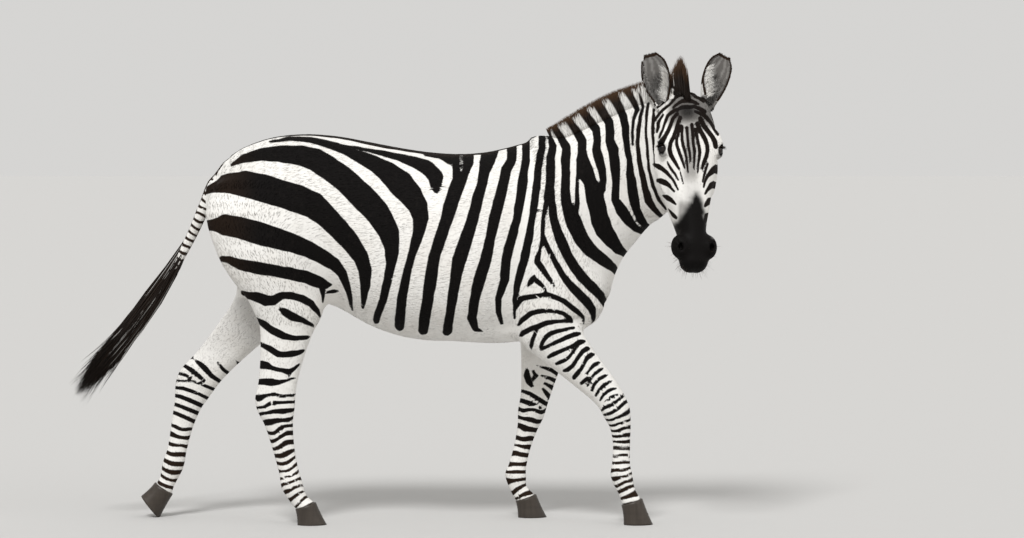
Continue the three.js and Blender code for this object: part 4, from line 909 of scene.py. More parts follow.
def markings(p):
    """Colours of the coat at points: millimetres from black stripes, and shares of muzzle, brown and grey."""
    count = len(p)
    muzzle, brown, grey = np.zeros(count), np.zeros(count), np.zeros(count)
    distances = {name: limb_place(name, p) for name in LEG_CODES}
    trunk = np.minimum(TRUNK.distance(p), NECK.distance(p))
    dock_place = np.zeros(count)
    dock = DOCK.distance(p, place=dock_place)
    head = ((p - HEAD_PLANE_POINT) @ HEAD_PLANE_NORMAL > 0) & (head_distance(p) < 60)
    # Trunk and neck.
    q = stripe_plane(p)
    far_side = smooth(-30, 60, p[:, 1])
    q[:, 0] += far_side * 5.5 * value_noise(p, 210, 5)
    q[:, 1] += far_side * 5.5 * value_noise(p, 210, 6)
    q += 0.45 * np.stack([value_noise(p, 22, 11), value_noise(p, 22, 12)], axis=1)
    turned = (q[:, 0] > MIRROR_X) & (p[:, 2] > 960)
    q[:, 0] = np.where(turned, MIRROR_X - MIRROR_RATE * (q[:, 0] - MIRROR_X), q[:, 0])
    stripe = stroke_distance(q, RUMP_STRIPES + FLANK_STRIPES + SHOULDER_STRIPES + NECK_STRIPES)
    stripe = np.maximum(stripe, -stroke_distance(q, CLEFTS))
    # The line along the back, and the pale middle of the belly.
    back = smooth(1130, 1240, p[:, 2]) * (p[:, 0] < 430)
    half_line = np.interp(p[:, 0], BACK_LINE_X, BACK_LINE_HALF)
    line = np.abs(p[:, 1]) + 5 * value_noise(p, 40, 21) - half_line
    stripe = np.where(back > 0.5, np.minimum(stripe, line), stripe)
    brown = np.maximum(brown, 0.07 * back * (1 - smooth(-6, 30, line)))
    brown = np.maximum(brown, 0.12 * (1 - smooth(225, 262, q[:, 0])) * (q[:, 1] < 300))
    belly = smooth(0.3, 0.75, (760 - p[:, 2]) / 160) * (1 - smooth(70, 150, np.abs(p[:, 1])))
    belly = belly * (p[:, 0] > -420)
    stripe = stripe + belly * 40
    under = (p[:, 2] < 720) & (np.abs(p[:, 0] + 60) < 330)
    stripe = np.where(under, np.minimum(stripe, np.abs(p[:, 1]) - 9), stripe)
    # Legs: the courses given above, then rings; the inner sides of the thighs are bare.
    nearest_limb = np.min([distances[name][0] for name in LEG_CODES], axis=0)
    for code, name in enumerate(LEG_CODES):
        d, along, across, sideways = distances[name]
        own = np.flatnonzero((d <= nearest_limb + 1e-9) & (p[:, 2] < 760) & ((d < trunk) | (p[:, 2] < 610)))
        if not len(own):
            continue
        side = LEGS[name]["side"]
        o = p[own]
        drawn = stripe[own]
        if side > 0:
            strokes = FAR_HIND_STRIPES if "hind" in name else FAR_FORE_STRIPES
            below = o[:, 2] < 640
            drawn = np.where(below, stroke_distance(stripe_plane(o, False), strokes), drawn)
        low, widest, narrowest, share, bend = RINGS[name]
        middle = LIMBS[name].middle
        begin = np.interp(-low, -middle[:, 2], run_along(middle))
        down = along[own] - begin
        rings = ring_distance(down, across[own], o, 31 + 7 * code, widest, narrowest, share, bend)
        drawn = np.where(down + 6 * value_noise(o, 30, 3) > 0, rings, drawn)
        inner = smooth(0.1, 0.6, -sideways[own] * side * np.sign(LIMBS[name].side[0][1]))
        stripe[own] = drawn + inner * smooth(520, 600, o[:, 2]) * 26
        grey[own] = np.maximum(grey[own], 0.25 * inner * smooth(520, 640, o[:, 2]))
        brown[own] = np.maximum(brown[own], 0.18 * smooth(420, 120, o[:, 2]))
    # The dock: narrow bands, and dark underneath.
    own = np.flatnonzero((dock < trunk - 2) & (p[:, 0] < -612) & (dock <= nearest_limb))
    if len(own):
        o = p[own]
        run = run_along(DOCK.middle)
        along = np.interp(dock_place[own], np.arange(len(run)), run)
        turns = along / 24 + 0.25 * value_noise(o, 30, 44)
        bands = (np.abs(turns - np.floor(turns) - 0.5) - 0.2) * 24
        index = np.clip(dock_place[own].round().astype(int), 0, len(run) - 1)
        up = ((o - DOCK.middle[index]) * DOCK.deep[index]).sum(axis=1) / DOCK.half[index]
        stripe[own] = np.minimum(bands, (0.78 - np.abs(up)) * 22)
        brown[own] = 0.2
    # The head.
    own = np.flatnonzero(head)
    if len(own):
        o = p[own]
        uvw = in_head(o)
        # The bars of the left cheek run straight back from the edge of the face.
        back = np.maximum(-38 - uvw[:, 2], 0) * smooth(20, 60, uvw[:, 1])
        q = stripe_plane(o + np.outer(back, OUT), False)
        q[:, 0] = np.where(back > 0, np.minimum(q[:, 0], CHEEK_END + 2 * value_noise(o, 45, 57)), q[:, 0])
        q[:, 1] += 0.05 * np.clip(-uvw[:, 2] - 40, 0, 200) * smooth(60, 140, uvw[:, 0])
        face = stroke_distance(q, FACE_STRIPES) - 1.1 - 0.5 * smooth(136, 122, q[:, 1])
        face = face + 9 * smooth(-85, -150, uvw[:, 2])
        behind = (q[:, 0] < 655) | ((uvw[:, 2] < -128) & (uvw[:, 1] < 20))
        stripe[own] = np.where(behind, np.minimum(face, stripe[own]), face)
        patch = stroke_distance(q, MUZZLE_PATCH) / STRIPE_UNIT
        reach = smooth(4.5, -3.5, patch + 1.5 * value_noise(o, 16, 51))
        muzzle[own] = np.maximum(reach, smooth(462, 500, uvw[:, 0] + 8 * value_noise(o, 20, 52)))
        from_smudge = (q - SMUDGE_MIDDLE) / SMUDGE_SIZE
        smudge = 0.85 * (1 - smooth(0.2, 1.2, np.hypot(from_smudge[:, 0], from_smudge[:, 1])))
        bridge = smooth(*BRIDGE_TOP, q[:, 1]) * (1 - smooth(3, 13, np.abs(q[:, 0] - BRIDGE_X)))
        strip = smooth(*STRIP_TOP, q[:, 1]) * smooth(*STRIP_END, q[:, 0]) * smooth(*STRIP_START, q[:, 0])
        crown = smooth(*CROWN_FOOT, q[:, 1]) * smooth(*CROWN_START, q[:, 0])
        middle = 1 - smooth(3, 11, np.abs(q[:, 0] - MIDDLE_X))
        paled = middle * smooth(*MIDDLE_TOP, q[:, 1]) * smooth(*MIDDLE_FOOT, q[:, 1])
        grey[own] = np.max([0.30 * bridge, 0.62 * strip, 0.86 * crown, 0.62 * paled], axis=0)
        muzzle[own] = np.maximum(muzzle[own], smudge)
        brown[own] = 0.05
        lids = ellipsoid(mirrored(uvw), *LIDS)
        pouch = ellipsoid(mirrored(uvw), *POUCH)
        muzzle[own] = np.maximum(muzzle[own], smooth(2.5, -1.5, lids))
        grey[own] = np.maximum(grey[own], 0.55 * smooth(3, -3, pouch))
    # Ears: a dark rim, grey inside, banded behind.
    last_row, steps = len(EAR_ROWS) - 1, 70
    rows = np.array([row_at(EAR_ROWS, k) for k in np.linspace(0, last_row, steps + 1)])
    for side, ear in EARS.items():
        along = up_ear(p, ear)
        own = np.flatnonzero((ear_distance(p, side) < 12) & (along > 0.08))
        if not len(own):
            continue
        t, s, outside = ear_place(p[own], side)
        at = np.clip(t, 0, 1) * steps
        wide, lap = (np.interp(at, np.arange(steps + 1), rows[:, k]) for k in (0, 2))
        rim = (1 - np.abs(s)) * np.radians(lap) * wide
        tip = (1 - t) * EAR_LENGTH
        wander = 2.5 * value_noise(p[own], 14, 61)
        edge = np.minimum(rim - 7, tip - 10) + wander * 0.6
        behind = np.minimum(np.minimum(tip - 40, np.abs(t - 0.40) * EAR_LENGTH - 19) + wander, rim - 7)
        inside = outside < 0
        stripe[own] = np.where(inside, edge, np.minimum(behind, edge))
        spot = 1 - smooth(0.25, 1.1, np.hypot((t - 0.52) / 0.20, s / 0.42))
        lines = smooth(0.1, 0.5, np.sin(s * 16 + 1.5 * value_noise(p[own], 20, 62)))
        grey[own] = np.where(inside, 0.90 - 0.12 * lines, 0.06)
        muzzle[own] = np.where(inside, 0.72 * spot + 0.25 * smooth(16, 6, rim), 0)
        brown[own] = 0.2
    return {"stripe": stripe, "muzzle": muzzle, "brown": brown, "grey": grey}


# ---------------------------------------------------------------- materials


class Nodes:
    """A short way to add nodes to a tree and link them."""

    def __init__(self, tree):
        self.tree = tree

    def node(self, kind, **values):
        made = self.tree.nodes.new(kind)
        for key, value in values.items():
            setattr(made, key, value)
        return made

    def link(self, a, b):
        self.tree.links.new(a, b)

    def put(self, socket, value):
        if isinstance(value, bpy.types.NodeSocket):
            self.link(value, socket)
        elif isinstance(value, (tuple, list)) and len(value) == 3 and len(socket.default_value) == 4:
            socket.default_value = (*value, 1)
        else:
            socket.default_value = value


class FinishNodes(Nodes):
    """The nodes of one material."""

    def __init__(self, name):
        self.material = bpy.data.materials.new(name)
        self.material.use_nodes = True
        super().__init__(self.material.node_tree)
        self.tree.nodes.clear()
        self.shader = self.node("ShaderNodeBsdfPrincipled")
        output = self.node("ShaderNodeOutputMaterial")
        self.link(self.shader.outputs[0], output.inputs[0])

    def attribute(self, name):
        return self.node("ShaderNodeAttribute", attribute_name=name).outputs["Fac"]

    def place(self, stretch=(1, 1, 1)):
        coordinates = self.node("ShaderNodeTexCoord").outputs["Object"]
        mapping = self.node("ShaderNodeMapping")
        mapping.inputs["Scale"].default_value = stretch
        self.link(coordinates, mapping.inputs["Vector"])
        return mapping.outputs[0]

    def noise(self, scale, detail=3.0, rough=0.55, place=None):
        made = self.node("ShaderNodeTexNoise")
        made.inputs["Scale"].default_value = scale
        made.inputs["Detail"].default_value = detail
        made.inputs["Roughness"].default_value = rough
        self.link(place or self.place(), made.inputs["Vector"])
        return made.outputs["Fac"]

    def sum(self, operation, a, b=0.0, c=0.0):
        made = self.node("ShaderNodeMath", operation=operation)
        for socket, value in zip(made.inputs, (a, b, c)):
            self.put(socket, value)
        return made.outputs[0]

    def ramp(self, value, low, high, start=0.0, end=1.0):
        made = self.node("ShaderNodeMapRange", interpolation_type="SMOOTHSTEP")
        for socket, number in zip(made.inputs, (value, low, high, start, end)):
            self.put(socket, number)
        return made.outputs[0]

    def mix(self, share, a, b):
        made = self.node("ShaderNodeMix", data_type="RGBA")
        self.put(made.inputs[0], share)
        self.put(made.inputs[6], a)
        self.put(made.inputs[7], b)
        return made.outputs[2]

    def bump(self, height, strength, distance=0.002):
        made = self.node("ShaderNodeBump")
        made.inputs["Strength"].default_value = strength
        made.inputs["Distance"].default_value = distance
        self.link(height, made.inputs["Height"])
        self.link(made.outputs[0], self.shader.inputs["Normal"])

    def finish(self, colour, roughness, specular=0.5):
        self.put(self.shader.inputs["Base Color"], colour)
        self.put(self.shader.inputs["Roughness"], roughness)
        self.shader.inputs["Specular IOR Level"].default_value = specular
        return self.material


FINE_DUST, FINE_SHEEN, HAIR_SHADOW = (0.45, 0.43, 0.40), (0.020, 0.016, 0.014), (0.02, 0.017, 0.015)


def coat_colours(n, edge=0.0014):
    """The colours of the coat from the markings carried by a piece's points."""
    settings = bpy.context.scene.zebra_colours
    names = ("white", "dusty", "black", "brown", "grey", "muzzle")
    hair = {name: tuple(getattr(settings, name)) for name in names}
    wander = n.sum("MULTIPLY_ADD", n.noise(330, 2), 0.0034, -0.0017)
    black = n.ramp(n.sum("ADD", n.attribute("stripe"), wander), edge, -edge)
    broad = n.noise(7.5, 2)
    fine = n.noise(120, 3, place=n.place((1, 1, 0.35)))
    white = n.mix(n.sum("MULTIPLY", n.ramp(broad, 0.42, 0.72), 0.16), hair["white"], hair["dusty"])
    white = n.mix(n.sum("MULTIPLY", n.ramp(fine, 0.45, 0.75), 0.14), white, FINE_DUST)
    dark = n.mix(n.attribute("brown"), hair["black"], hair["brown"])
    dark = n.mix(n.sum("MULTIPLY", n.ramp(fine, 0.5, 0.8), 0.25), dark, FINE_SHEEN)
    white = n.mix(n.attribute("grey"), white, hair["grey"])
    colour = n.mix(black, white, dark)
    return n.mix(n.attribute("muzzle"), colour, hair["muzzle"])


def coat_material():
    n = FinishNodes("coat")
    colour = coat_colours(n)
    grain = n.sum("ADD", n.noise(900, 2, place=n.place((1, 1, 0.22))), n.sum("MULTIPLY", n.noise(60, 2), 0.6))
    n.bump(grain, 0.35, 0.0016)
    return n.finish(colour, n.ramp(n.attribute("muzzle"), 0, 1, 0.7, 0.5), 0.06)


def hair_material():
    n = FinishNodes("hair")
    colour = coat_colours(n, 0.003)
    shade = n.ramp(n.attribute("shade"), 0, 1, 0.0, 0.10)
    colour = n.mix(shade, colour, HAIR_SHADOW)
    return n.finish(colour, 0.5, 0.16)


def fur_material():
    n = FinishNodes("fur")
    colour = coat_colours(n, 0.0022)
    shade = n.ramp(n.attribute("shade"), 0, 1, 0.0, 0.08)
    colour = n.mix(shade, colour, HAIR_SHADOW)
    return n.finish(colour, 0.66, 0.07)


def horn_material():
    n = FinishNodes("horn")
    grain = n.noise(90, place=n.place((1, 1, 0.06)))
    bands = n.noise(70, 2, place=n.place((0.15, 0.15, 1)))
    n.bump(n.sum("ADD", grain, bands), 0.5, 0.0012)
    colour = n.mix(grain, (0.016, 0.013, 0.011), (0.062, 0.051, 0.042))
    colour = n.mix(n.sum("MULTIPLY", bands, 0.35), colour, (0.085, 0.068, 0.052))
    return n.finish(colour, 0.42, 0.25)


def eye_material():
    n = FinishNodes("eye")
    rim = n.ramp(n.attribute("iris"), 0.62, 0.70)
    pupil = n.ramp(n.attribute("pupil"), 0.85, 1.05)
    colour = n.mix(pupil, (0.001, 0.001, 0.001), (0.012, 0.006, 0.003))
    made = n.finish(n.mix(rim, colour, (0.006, 0.004, 0.003)), 0.12, 0.35)
    n.shader.inputs["Coat Weight"].default_value = 0.15
    n.shader.inputs["Coat Roughness"].default_value = 0.04
    return made


MATERIALS = {}


def material(name):
    if name not in MATERIALS:
        makers = {
            "coat": coat_material, "fur": fur_material, "hair": hair_material,
            "horn": horn_material, "eye": eye_material,
        }
        MATERIALS[name] = makers[name]()
    return MATERIALS[name]


def packed(points):
    return (points + SHIFT) * MM


def set_float(obj, name, values):
    attribute = obj.data.attributes.new(name, "FLOAT", "POINT")
    attribute.data.foreach_set("value", np.asarray(values, dtype=np.float32).ravel())


def set_vector(obj, name, values):
    attribute = obj.data.attributes.new(name, "FLOAT_VECTOR", "POINT")
    attribute.data.foreach_set("vector", np.asarray(values, dtype=np.float32).ravel())


def get_floats(mesh, name):
    values = np.empty(len(mesh.vertices), dtype=np.float32)
    mesh.attributes[name].data.foreach_get("value", values)
    return values


def set_markings(obj, marks):
    set_float(obj, "stripe", marks["stripe"] * MM)
    for name in ("muzzle", "brown", "grey"):
        set_float(obj, name, np.clip(marks[name], 0, 1))


SKIN = {}
SKIN_TRIANGLES = 192000


def thinned(skin, most):
    """The skin in at most so many triangles, with the flattest merged first."""
    triangles = 2 * len(skin.data.polygons)
    modifier = skin.modifiers.new("thin", "DECIMATE")
    modifier.ratio = min(1, most / triangles)
    modifier.use_collapse_triangulate = True
    graph = bpy.context.evaluated_depsgraph_get()
    mesh = bpy.data.meshes.new_from_object(skin.evaluated_get(graph), depsgraph=graph)
    skin.modifiers.remove(modifier)
    bm = bmesh.new()
    bm.from_mesh(mesh)
    bmesh.ops.triangulate(bm, faces=bm.faces)
    bmesh.ops.recalc_face_normals(bm, faces=bm.faces)
    bm.to_mesh(mesh)
    bm.free()
    shade_smooth(mesh)
    skin.data = mesh


def make_skin():
    vertices, faces = surface_net(skin_distance, SKIN_GRID)
    skin = make_mesh("skin", packed(vertices), faces)
    thinned(skin, SKIN_TRIANGLES)
    SKIN["object"] = skin
    SKIN["points"] = skin_points()
    set_markings(skin, markings(SKIN["points"][0]))
    skin.data.materials.append(material("coat"))
    return skin


def make_camera():
    rise = math.radians(CAMERA_RISE)
    back = vec(0, -math.cos(rise), math.sin(rise)) * CAMERA_DISTANCE
    data = bpy.data.cameras.new("camera")
    camera = add_object("camera", data)
    data.sensor_width = SENSOR_WIDTH
    data.lens = SENSOR_WIDTH * (CAMERA_DISTANCE / STRIPE_UNIT) / PICTURE_WIDTH
    camera.location = packed(CAMERA_TARGET + back)
    camera.rotation_euler = (math.radians(90 - CAMERA_RISE), 0, 0)
    bpy.context.scene.camera = camera


# ---------------------------------------------------------------- hair and tufts


def socket_of(tree, name):
    """The identifier of a tree's named input."""
    sockets = [item for item in tree.interface.items_tree if item.item_type == "SOCKET"]
    return next(socket.identifier for socket in sockets if socket.in_out == "INPUT" and socket.name == name)


def tuft_tree(name, segments, sides, finish):
    """A tree that grows one tapered lock on each root, bent along the course that the root carries."""
    tree = bpy.data.node_groups.new(name, "GeometryNodeTree")
    tree.interface.new_socket("Geometry", in_out="INPUT", socket_type="NodeSocketGeometry")
    for label, default in (("Thickness", 1.0), ("Fullness", 0.9), ("Length", 1.0)):
        socket = tree.interface.new_socket(label, in_out="INPUT", socket_type="NodeSocketFloat")
        socket.default_value = default
    tree.interface.new_socket("Geometry", in_out="OUTPUT", socket_type="NodeSocketGeometry")

    nodes = Nodes(tree)
    node, link = nodes.node, nodes.link

    def named(label, kind="FLOAT"):
        made = node("GeometryNodeInputNamedAttribute", data_type=kind)
        made.inputs["Name"].default_value = label
        return made.outputs["Attribute"]

    def maths(operation, a, b):
        made = node("ShaderNodeMath", operation=operation)
        for socket, value in zip(made.inputs, (a, b)):
            nodes.put(socket, value)
        return made.outputs[0]

    def scaled(vector, factor):
        made = node("ShaderNodeVectorMath", operation="SCALE")
        link(vector, made.inputs[0])
        link(factor, made.inputs["Scale"])
        return made.outputs[0]

    def total(*vectors):
        result = vectors[0]
        for vector in vectors[1:]:
            made = node("ShaderNodeVectorMath", operation="ADD")
            link(result, made.inputs[0])
            link(vector, made.inputs[1])
            result = made.outputs[0]
        return result

    def store(geometry, label, value):
        made = node("GeometryNodeStoreNamedAttribute", data_type="FLOAT", domain="POINT")
        made.inputs["Name"].default_value = label
        link(geometry, made.inputs["Geometry"])
        link(value, made.inputs["Value"])
        return made.outputs[0]

    given = node("NodeGroupInput")
    out = node("NodeGroupOutput")
    cone = node("GeometryNodeMeshCone", fill_type="NGON")
    cone.inputs["Vertices"].default_value = sides
    cone.inputs["Side Segments"].default_value = segments
    cone.inputs["Radius Top"].default_value = 0.0
    cone.inputs["Radius Bottom"].default_value = 1.0
    cone.inputs["Depth"].default_value = 1.0
    place = node("ShaderNodeSeparateXYZ")
    link(node("GeometryNodeInputPosition").outputs[0], place.inputs[0])
    lock = store(cone.outputs["Mesh"], "along", place.outputs["Z"])
    full = maths("ADD", maths("MULTIPLY", place.outputs["Z"], given.outputs["Fullness"]), 1.0)
    lock = store(lock, "sideways", maths("MULTIPLY", place.outputs["X"], full))
    lock = store(lock, "outwards", maths("MULTIPLY", place.outputs["Y"], full))
    spread = node("GeometryNodeInstanceOnPoints")
    points = node("GeometryNodeMeshToPoints")
    link(given.outputs["Geometry"], points.inputs["Mesh"])
    link(points.outputs[0], spread.inputs["Points"])
    link(lock, spread.inputs["Instance"])
    real = node("GeometryNodeRealizeInstances")
    link(spread.outputs[0], real.inputs[0])
    t = maths("MULTIPLY", named("along"), given.outputs["Length"])
    square = maths("MULTIPLY", t, t)
    outwards = maths("MULTIPLY", named("outwards"), given.outputs["Thickness"])
    course = total(
        named("root", "FLOAT_VECTOR"),
        scaled(named("reach", "FLOAT_VECTOR"), t),
        scaled(named("sag", "FLOAT_VECTOR"), square),
        scaled(named("side", "FLOAT_VECTOR"), named("sideways")),
        scaled(named("lift", "FLOAT_VECTOR"), outwards),
    )
    move = node("GeometryNodeSetPosition")
    link(real.outputs[0], move.inputs["Geometry"])
    link(course, move.inputs["Position"])
    paint = node("GeometryNodeSetMaterial")
    paint.inputs["Material"].default_value = finish
    link(move.outputs[0], paint.inputs["Geometry"])
    link(paint.outputs[0], out.inputs[0])
    return tree


UV_PATCH = 0.003


def grow(name, roots, finish, segments=2, sides=3, thickness=1.0, fullness=0.9, marks=None, tint=None):
    """One piece of locks: roots carries root, reach, sag, side and lift in millimetres. Its colours come from
    marks, the markings at stations from each lock's root to its tip, or from tint, which finds them anew."""
    count = len(roots["root"])
    points = make_mesh(name + "_roots", packed(roots["root"]), np.zeros((0, 3), dtype=np.int32))
    set_vector(points, "root", packed(roots["root"]))
    for key in ("reach", "sag", "side", "lift"):
        set_vector(points, key, roots[key] * MM)
    set_float(points, "number", np.arange(count))
    tree = tuft_tree(name, segments, sides, material(finish))
    modifier = points.modifiers.new("grow", "NODES")
    modifier.node_group = tree
    modifier[socket_of(tree, "Thickness")] = thickness
    modifier[socket_of(tree, "Fullness")] = fullness
    graph = bpy.context.evaluated_depsgraph_get()
    mesh = bpy.data.meshes.new_from_object(points.evaluated_get(graph), depsgraph=graph)
    points.modifiers.remove(modifier)
    bpy.data.objects.remove(points)
    bpy.data.node_groups.remove(tree)
    mesh.name = name
    number = np.round(get_floats(mesh, "number")).astype(int)
    along = get_floats(mesh, "along")
    sideways = get_floats(mesh, "sideways")
    coordinates = np.empty(len(mesh.vertices) * 3, dtype=np.float32)
    mesh.vertices.foreach_get("co", coordinates)
    spots = coordinates.reshape(-1, 3) / MM - SHIFT
    for label in ("root", "reach", "sag", "side", "lift", "number", "along", "sideways", "outwards", "UVMap"):
        if label in mesh.attributes:
            mesh.attributes.remove(mesh.attributes[label])
    shade_smooth(mesh)
    obj = add_object(name, mesh)
    if tint:
        marks = tint(along, number, spots.astype(float))
    else:
        station = np.round(along * (len(marks) - 1)).astype(int)
        marks = {key: np.stack([m[key] for m in marks])[station, number] for key in marks[0]}
    set_markings(obj, marks)
    set_float(obj, "shade", (1 - along) ** 2)
    uv = mesh.uv_layers.new(name="OFBake")
    corner = np.empty(len(mesh.loops), dtype=np.int32)
    mesh.loops.foreach_get("vertex_index", corner)
    local = np.stack([np.clip(sideways * 0.4, -0.5, 0.5), along - 0.5], axis=1) * UV_PATCH
    flat = roots["uv"][number] + local
    uv.data.foreach_set("uv", flat[corner].astype(np.float32).ravel())
    mesh.validate()
    return obj


# ---------------------------------------------------------------- where the coat grows

# Parts of the body for the unwrap and for the lie of the coat.
PARTS = ("trunk", "neck", "head", "dock", *LEG_CODES, "ear_left", "ear_right")
PART = {name: index for index, name in enumerate(PARTS)}
UNWRAP_SCALE = 0.33  # of the unwrap for each metre
# Corners of each part's two charts on the unwrap, for what faces right and what faces left.
CHARTS = {
    "trunk": [(0.005, 0.005), (0.005, 0.335)],
    "neck": [(0.47, 0.005), (0.47, 0.335)],
    "head": [(0.005, 0.67), (0.12, 0.67)],
    "dock": [(0.245, 0.67), (0.245, 0.83)],
    "hindleg_right": [(0.67, 0.005), (0.84, 0.005)],
    "hindleg_left": [(0.67, 0.25), (0.84, 0.25)],
    "foreleg_right": [(0.67, 0.50), (0.84, 0.50)],
    "foreleg_left": [(0.67, 0.75), (0.84, 0.75)],
    "ear_left": [(0.36, 0.67), (0.42, 0.67)],
    "ear_right": [(0.36, 0.77), (0.42, 0.77)],
}
# The point of the body, along and up, that lies at those corners.
CHART_ORIGINS = {
    "trunk": (-700, 560), "neck": (400, 560), "head": (760, 820), "dock": (-880, 800),
    "hindleg_right": (-700, 40), "hindleg_left": (-900, 40),
    "foreleg_right": (340, 40), "foreleg_left": (300, 40),
    "ear_left": (960, 1370), "ear_right": (760, 1370),
}


def parts_of(p):
    """Which part of the body each point belongs to, as an index into PARTS."""
    trunk, neck, dock = TRUNK.distance(p), NECK.distance(p), DOCK.distance(p)
    head = np.where((p - HEAD_PLANE_POINT) @ HEAD_PLANE_NORMAL > 0, head_distance(p), 500.0)
    neck = np.where(head < 40, np.maximum(neck, 45), neck)
    limbs = [LIMBS[name].distance(p) + np.where(p[:, 2] > 700, 60, 0) for name in LEG_CODES]
    trunk = np.where(p[:, 2] < 560, 200, trunk)
    ears = []
    for side in (1, -1):
        ear = EARS[side]
        t = up_ear(p, ear)
        ears.append(np.where(t > 0.1, ear_distance(p, side) - 12, 500.0))
    return np.argmin(np.stack([trunk, neck, head, dock - 6, *limbs, *ears]), axis=0)


def unwrap(p, normals, parts):
    """Where points fall on the unwrap: each part is seen from its own two sides."""
    uv = np.zeros((len(p), 2))
    for index, name in enumerate(PARTS):
        for half, sign in enumerate((-1, 1)):
            own = (parts == index) & ((normals[:, 1] >= 0) == (sign > 0))
            corner, origin = CHARTS[name][half], CHART_ORIGINS[name]
            uv[own, 0] = corner[0] + (p[own, 0] - origin[0]) * MM * UNWRAP_SCALE
            uv[own, 1] = corner[1] + (p[own, 2] - origin[1]) * MM * UNWRAP_SCALE
    return uv


def tangent_field(p, normals):
    """The lie of the coat: back along the trunk, down the legs and the face, up the ears."""
    trunk = np.tile(unit(vec(-1, 0, -0.22)), (len(p), 1))
    trunk[:, 2] -= 0.5 * smooth(-380, -620, p[:, 0])
    neck = np.tile(unit(vec(-0.75, 0.1, -0.8)), (len(p), 1))
    head = np.tile(ALONG, (len(p), 1)) - np.outer(smooth(60, 200, -in_head(p)[:, 2]), OUT) * 0.6
    fields = [trunk, neck, head]
    weights = [np.exp(-np.maximum(tube.distance(p), 0) / 16) for tube in (TRUNK, NECK)]
    front = ((p - HEAD_PLANE_POINT) @ HEAD_PLANE_NORMAL > -10) * 30.0
    weights.append(np.exp(-np.maximum(head_distance(p), 0) / 16) * front)
    for tube, strength in [(DOCK, 4.0)] + [(LIMBS[name], 1.5) for name in LEG_CODES]:
        place = np.zeros(len(p))
        d = tube.distance(p, place=place)
        index = np.clip(place.astype(int), 0, len(tube.middle) - 2)
        step = tube.middle[index + 1] - tube.middle[index]
        fields.append(step / np.linalg.norm(step, axis=1)[:, None])
        weights.append(np.exp(-np.maximum(d, 0) / 16) * strength)
    for side in (1, -1):
        ear = EARS[side]
        t = up_ear(p, ear)
        fields.append(np.tile(ear.up, (len(p), 1)))
        weights.append(np.exp(-np.maximum(ear_distance(p, side), 0) / 5) * smooth(0.02, 0.15, t) * 200)
    lie = sum(f * w[:, None] for f, w in zip(fields, weights))
    wander = np.stack([value_noise(p, 55, k) for k in (71, 72, 73)], axis=1)
    lie += 0.10 * wander * np.linalg.norm(lie, axis=1)[:, None]
    lie -= (lie * normals).sum(axis=1)[:, None] * normals
    return lie / np.maximum(np.linalg.norm(lie, axis=1), 1e-9)[:, None]


def skin_points():
    """The skin's vertices, triangles and normals, in millimetres of the body."""
    mesh = SKIN["object"].data
    mesh.calc_loop_triangles()
    co = np.empty(len(mesh.vertices) * 3, dtype=np.float32)
    mesh.vertices.foreach_get("co", co)
    normals = np.empty(len(mesh.vertices) * 3, dtype=np.float32)
    mesh.vertices.foreach_get("normal", normals)
    triangles = np.empty(len(mesh.loop_triangles) * 3, dtype=np.int32)
    mesh.loop_triangles.foreach_get("vertices", triangles)
    points = co.reshape(-1, 3).astype(float) / MM - SHIFT
    return points, triangles.reshape(-1, 3), normals.reshape(-1, 3).astype(float)


def unwrap_skin():
    """The skin's own unwrap: each face lies in the chart of its part and side."""
    vertices = SKIN["points"][0]
    mesh = SKIN["object"].data
    corner = np.empty(len(mesh.loops), dtype=np.int32)
    mesh.loops.foreach_get("vertex_index", corner)
    faces = vertices[corner].reshape(-1, 3, 3)
    normals = np.cross(faces[:, 1] - faces[:, 0], faces[:, 2] - faces[:, 0])
    parts = parts_of(faces.mean(axis=1))
    flat = unwrap(vertices[corner], np.repeat(normals, 3, axis=0), np.repeat(parts, 3))
    mesh.uv_layers.new(name="OFBake").data.foreach_set("uv", flat.astype(np.float32).ravel())


CROWDING = 3.4  # points tried for each that is kept


def scatter(spacing_at, seed):
    """Points spread evenly over the skin, with the normals there; spacing_at gives the room of each."""
    vertices, triangles, normals = SKIN["points"]
    rng = np.random.default_rng(seed)
    a, b, c = (vertices[triangles[:, k]] for k in range(3))
    area = np.linalg.norm(np.cross(b - a, c - a), axis=1) / 2
    room = spacing_at((a + b + c) / 3)
    wanted = np.where(room > 0, area / np.maximum(room, 0.1) ** 2, 0) * CROWDING
    number = rng.poisson(wanted)
    chosen = np.repeat(np.arange(len(triangles)), number)
    r1, r2 = np.sqrt(rng.random(len(chosen))), rng.random(len(chosen))
    weight = np.stack([1 - r1, r1 * (1 - r2), r1 * r2], axis=1)
    p = sum(vertices[triangles[chosen, k]] * weight[:, k:k + 1] for k in range(3))
    n = sum(normals[triangles[chosen, k]] * weight[:, k:k + 1] for k in range(3))
    n /= np.maximum(np.linalg.norm(n, axis=1), 1e-9)[:, None]
    size = room[chosen]
    level = np.round(np.log2(size) * 4)
    cell = np.floor(p / (2 ** (level / 4))[:, None] / 0.93).astype(np.int64)
    key = hashed(cell) * 64 + level.astype(np.int64)
    _, first = np.unique(key, return_index=True)
    return p[first], n[first]


def coat_roots(p, normals, lie, long, wide, thick, rise, sink, parts):
    """Roots of lying tufts: rise is how steeply each leaves the skin, as a slope."""
    side = np.cross(lie, normals)
    side /= np.maximum(np.linalg.norm(side, axis=1), 1e-9)[:, None]
    reach = (lie + normals * rise[:, None]) * long[:, None]
    sag = -normals * (rise * long * 0.55)[:, None]
    return {
        "root": p - normals * sink, "reach": reach, "sag": sag, "side": side * wide[:, None],
        "lift": normals * thick[:, None], "uv": unwrap(p, normals, parts),
    }


def pick(values, own):
    return {key: value[own] for key, value in values.items()}


# ---------------------------------------------------------------- pieces


